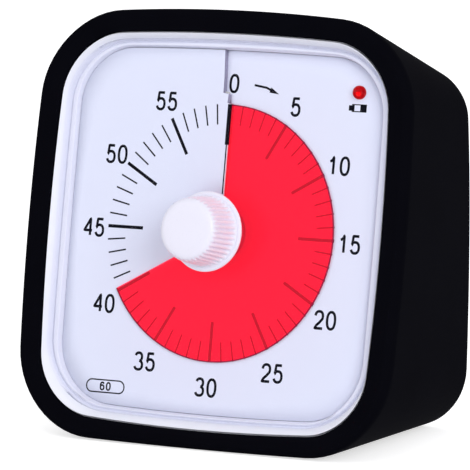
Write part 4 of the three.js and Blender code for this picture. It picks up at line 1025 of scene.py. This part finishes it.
door_bm = bmesh.new()
box_between(door_bm, door_low, door_high)
corner_edges = [e for e in door_bm.edges if abs(e.verts[0].co.y - e.verts[1].co.y) > 0.5 * MM]
bmesh.ops.bevel(door_bm, geom=corner_edges, offset=1.2 * MM, segments=6, profile=0.5,
                affect="EDGES", material=-1)
outer_edges = [e for e in door_bm.edges if all(v.co.y > door_high[1] - 1e-6 for v in e.verts)]
bmesh.ops.bevel(door_bm, geom=outer_edges, offset=0.25 * MM, segments=3, profile=0.5,
                affect="EDGES", material=-1)
NOTCH_RADIUS, NOTCH_DEPTH = 4 * MM, 0.6 * MM
notch = Vector((0, door_high[1], door_high[2] - 5.1 * MM))
door_bm = carved(door_bm, [cutter(NOTCH_RADIUS, 2 * NOTCH_DEPTH, Matrix.Translation(notch) @ along_depth, 64)])
# Five ribs across the notch, each as long as a circle of 3.2 mm allows
for k in range(5):
    z = notch.z - (2.4 - 1.2 * k) * MM
    half = math.sqrt((3.2 * MM) ** 2 - (z - notch.z) ** 2)
    box_between(door_bm, (-half, door_high[1] - 0.7 * MM, z - 0.22 * MM),
                (half, door_high[1] - 0.15 * MM, z + 0.22 * MM))
finish_piece("battery_lid", door_bm, Matrix.Identity(4), abs_case, "door", ["battery_door"], 30)

# %% [markdown]
# ## Volume switch
# A small black slider with a grip of three ridges stands a millimetre out of its slot.

# %% Slider
slider_low, slider_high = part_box("volume_slider")
slider_bm = bmesh.new()
box_between(slider_bm, slider_low, (slider_high[0], slider_high[1] - 0.4 * MM, slider_high[2]))
for k in range(3):
    x = slider_low[0] + (0.5 + 1.2 * k) * MM
    box_between(slider_bm, (x - 0.28 * MM, slider_high[1] - 0.6 * MM, slider_low[2]),
                (x + 0.28 * MM, slider_high[1], slider_high[2]))
finish_piece("volume_grip", slider_bm, Matrix.Identity(4), black_abs, "slider",
             ["volume_slider"])

# %% [markdown]
# ## Case screws
# Four screws sit deep in wells in the back. Each is a ring body with a cross recess cut into its head.

# %% Screws with a cross recess


def cross_screw(name, node):
    """A case screw with a cross recess, in the place of its CAD node."""
    low, high = face_range(node)
    head, tip = low[2], high[2]
    seat = head + 1.8
    profile = [(head, 2.0, 0), (head + 0.12, 2.35, 0), (head + 0.4, 2.58, 0), (seat, 2.6, 0), (seat, 1.3, 0),
               (tip - 0.8, 1.3, 0), (tip, 0.5, 0)]
    spot = Matrix.Translation(((low[0] + high[0]) / 2, (low[1] + high[1]) / 2, 0))
    blades = []
    for turn in (0, math.pi / 2):
        bm = bmesh.new()
        box_between(bm, (-1.5, -0.3, head - 0.5), (1.5, 0.3, head + 0.9))
        bm.transform(Matrix.Rotation(turn, 4, "Z"))
        blades.append(as_object("blade", bm))
    bm = carved(ring_body(profile, 40), blades)
    return finish_piece(name, bm, FACE @ spot, zinc_steel, "case", [node], 30)


for k, node in enumerate(screw_nodes):
    cross_screw(f"case_screw_{k + 1}", node)

# %% [markdown]
# ## Inner pieces
# The works behind the dial keep their CAD shapes, which are right. Each gets the material of the real piece.

# %% Materials of the inner pieces
INNER = {
    "dial_tray": tray_abs, "spindle": zinc_steel, "disk_hub": abs_knob, "spindle_bush": brass,
    "clutch_spring": zinc_steel, "clutch_collar": brass, "drive_wheel": acetal, "third_wheel": acetal,
    "fourth_wheel": acetal, "rotor": black_abs, "movement_front_plate": acetal, "movement_rear_plate": acetal,
    "stator": zinc_steel, "coil_core": zinc_steel, "coil_winding": copper, "battery_cell": cell_jacket,
    "battery_contact": zinc_steel, "battery_spring": zinc_steel, "control_board": board_lacquer,
    "buzzer": black_abs, "switch_body": zinc_steel, "battery_lead_red": red_pvc,
    "battery_lead_black": black_pvc, "led_lead": red_pvc,
}
INNER.update({f"movement_screw_{k}": zinc_steel for k in (1, 2, 3)})
INNER.update({f"board_screw_{k}": zinc_steel for k in (1, 2)})
for node, material in INNER.items():
    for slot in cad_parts[node].material_slots:
        slot.material = material
print("CAD nodes kept:", len(INNER))

# %% [markdown]
# ## Table and light
# The timer stands on a pale table in front of a white background. A soft lamp lights it from the upper right
# and a weaker one from the left. The table and the surroundings look white to the camera and in reflections,
# while what they give as light stays at a plain level.

# %% Table, surroundings and lamps


def seen_rays(tree):
    """One where a ray comes from the camera, a mirror or a clear surface."""
    path = add_node(tree, "ShaderNodeLightPath")
    first = add_node(tree, "ShaderNodeMath", {0: path.outputs["Is Camera Ray"],
                                              1: path.outputs["Is Glossy Ray"]}, operation="MAXIMUM")
    return add_node(tree, "ShaderNodeMath", {0: first.outputs[0], 1: path.outputs["Is Transmission Ray"]},
                    operation="MAXIMUM").outputs[0]


# A laminate table top: even and pale, matt enough to keep only the object's shadow
TABLE_GLOW = 0.62
table_top, tree = new_material("matt_laminate")
spread = add_node(tree, "ShaderNodeTexCoord").outputs["Object"]
cloud = add_node(tree, "ShaderNodeTexNoise", {"Vector": spread, "Scale": 1 / (40 * MM)})
pale = add_node(tree, "ShaderNodeMix", {"Factor": cloud.outputs["Fac"], 6: linear("#efeff1"),
                                        7: linear("#ececee")}, data_type="RGBA")
surface = add_node(tree, "ShaderNodeBsdfDiffuse", {"Color": pale.outputs[2]})
level = add_node(tree, "ShaderNodeMath", {0: seen_rays(tree), 1: TABLE_GLOW}, operation="MULTIPLY")
glow = add_node(tree, "ShaderNodeEmission", {"Strength": level.outputs[0]})
both = add_node(tree, "ShaderNodeAddShader", {0: surface.outputs["BSDF"], 1: glow.outputs["Emission"]})
add_node(tree, "ShaderNodeOutputMaterial", {"Surface": both.outputs["Shader"]})

table_bm = bmesh.new()
bmesh.ops.create_grid(table_bm, x_segments=8, y_segments=8, size=3.0,
                      matrix=Matrix.Translation((0, 0, cad_low[2] - 0.05 * MM)))
table = as_object("table", table_bm)
table.data.materials.append(table_top)

# Light level of the white surroundings
AMBIENT = 0.865
world = bpy.data.worlds.new("white_studio")
bpy.context.scene.world = world
world.use_nodes = True
tree = world.node_tree
tree.nodes.clear()
strength = add_node(tree, "ShaderNodeMapRange", {"Value": seen_rays(tree), "To Min": AMBIENT, "To Max": 1.0})
back = add_node(tree, "ShaderNodeBackground", {"Strength": strength.outputs["Result"]})
add_node(tree, "ShaderNodeOutputWorld", {"Surface": back.outputs["Background"]})


def soft_lamp(name, spot, size, watts):
    """A square area lamp that looks at the dial."""
    data = bpy.data.lights.new(name, "AREA")
    data.size = size
    data.energy = watts
    lamp = bpy.data.objects.new(name, data)
    away = (Vector(spot) - DIAL_MIDDLE * MM).normalized()
    lamp.matrix_world = Matrix.Translation(spot) @ away.to_track_quat("Z", "Y").to_matrix().to_4x4()
    bpy.context.collection.objects.link(lamp)


soft_lamp("key_lamp", (1.15, -1.0, 0.6), 0.8, 10.6)
soft_lamp("fill_lamp", (-0.8, -0.9, 0.5), 0.8, 1.9)
bpy.context.scene.view_settings.view_transform = "Standard"
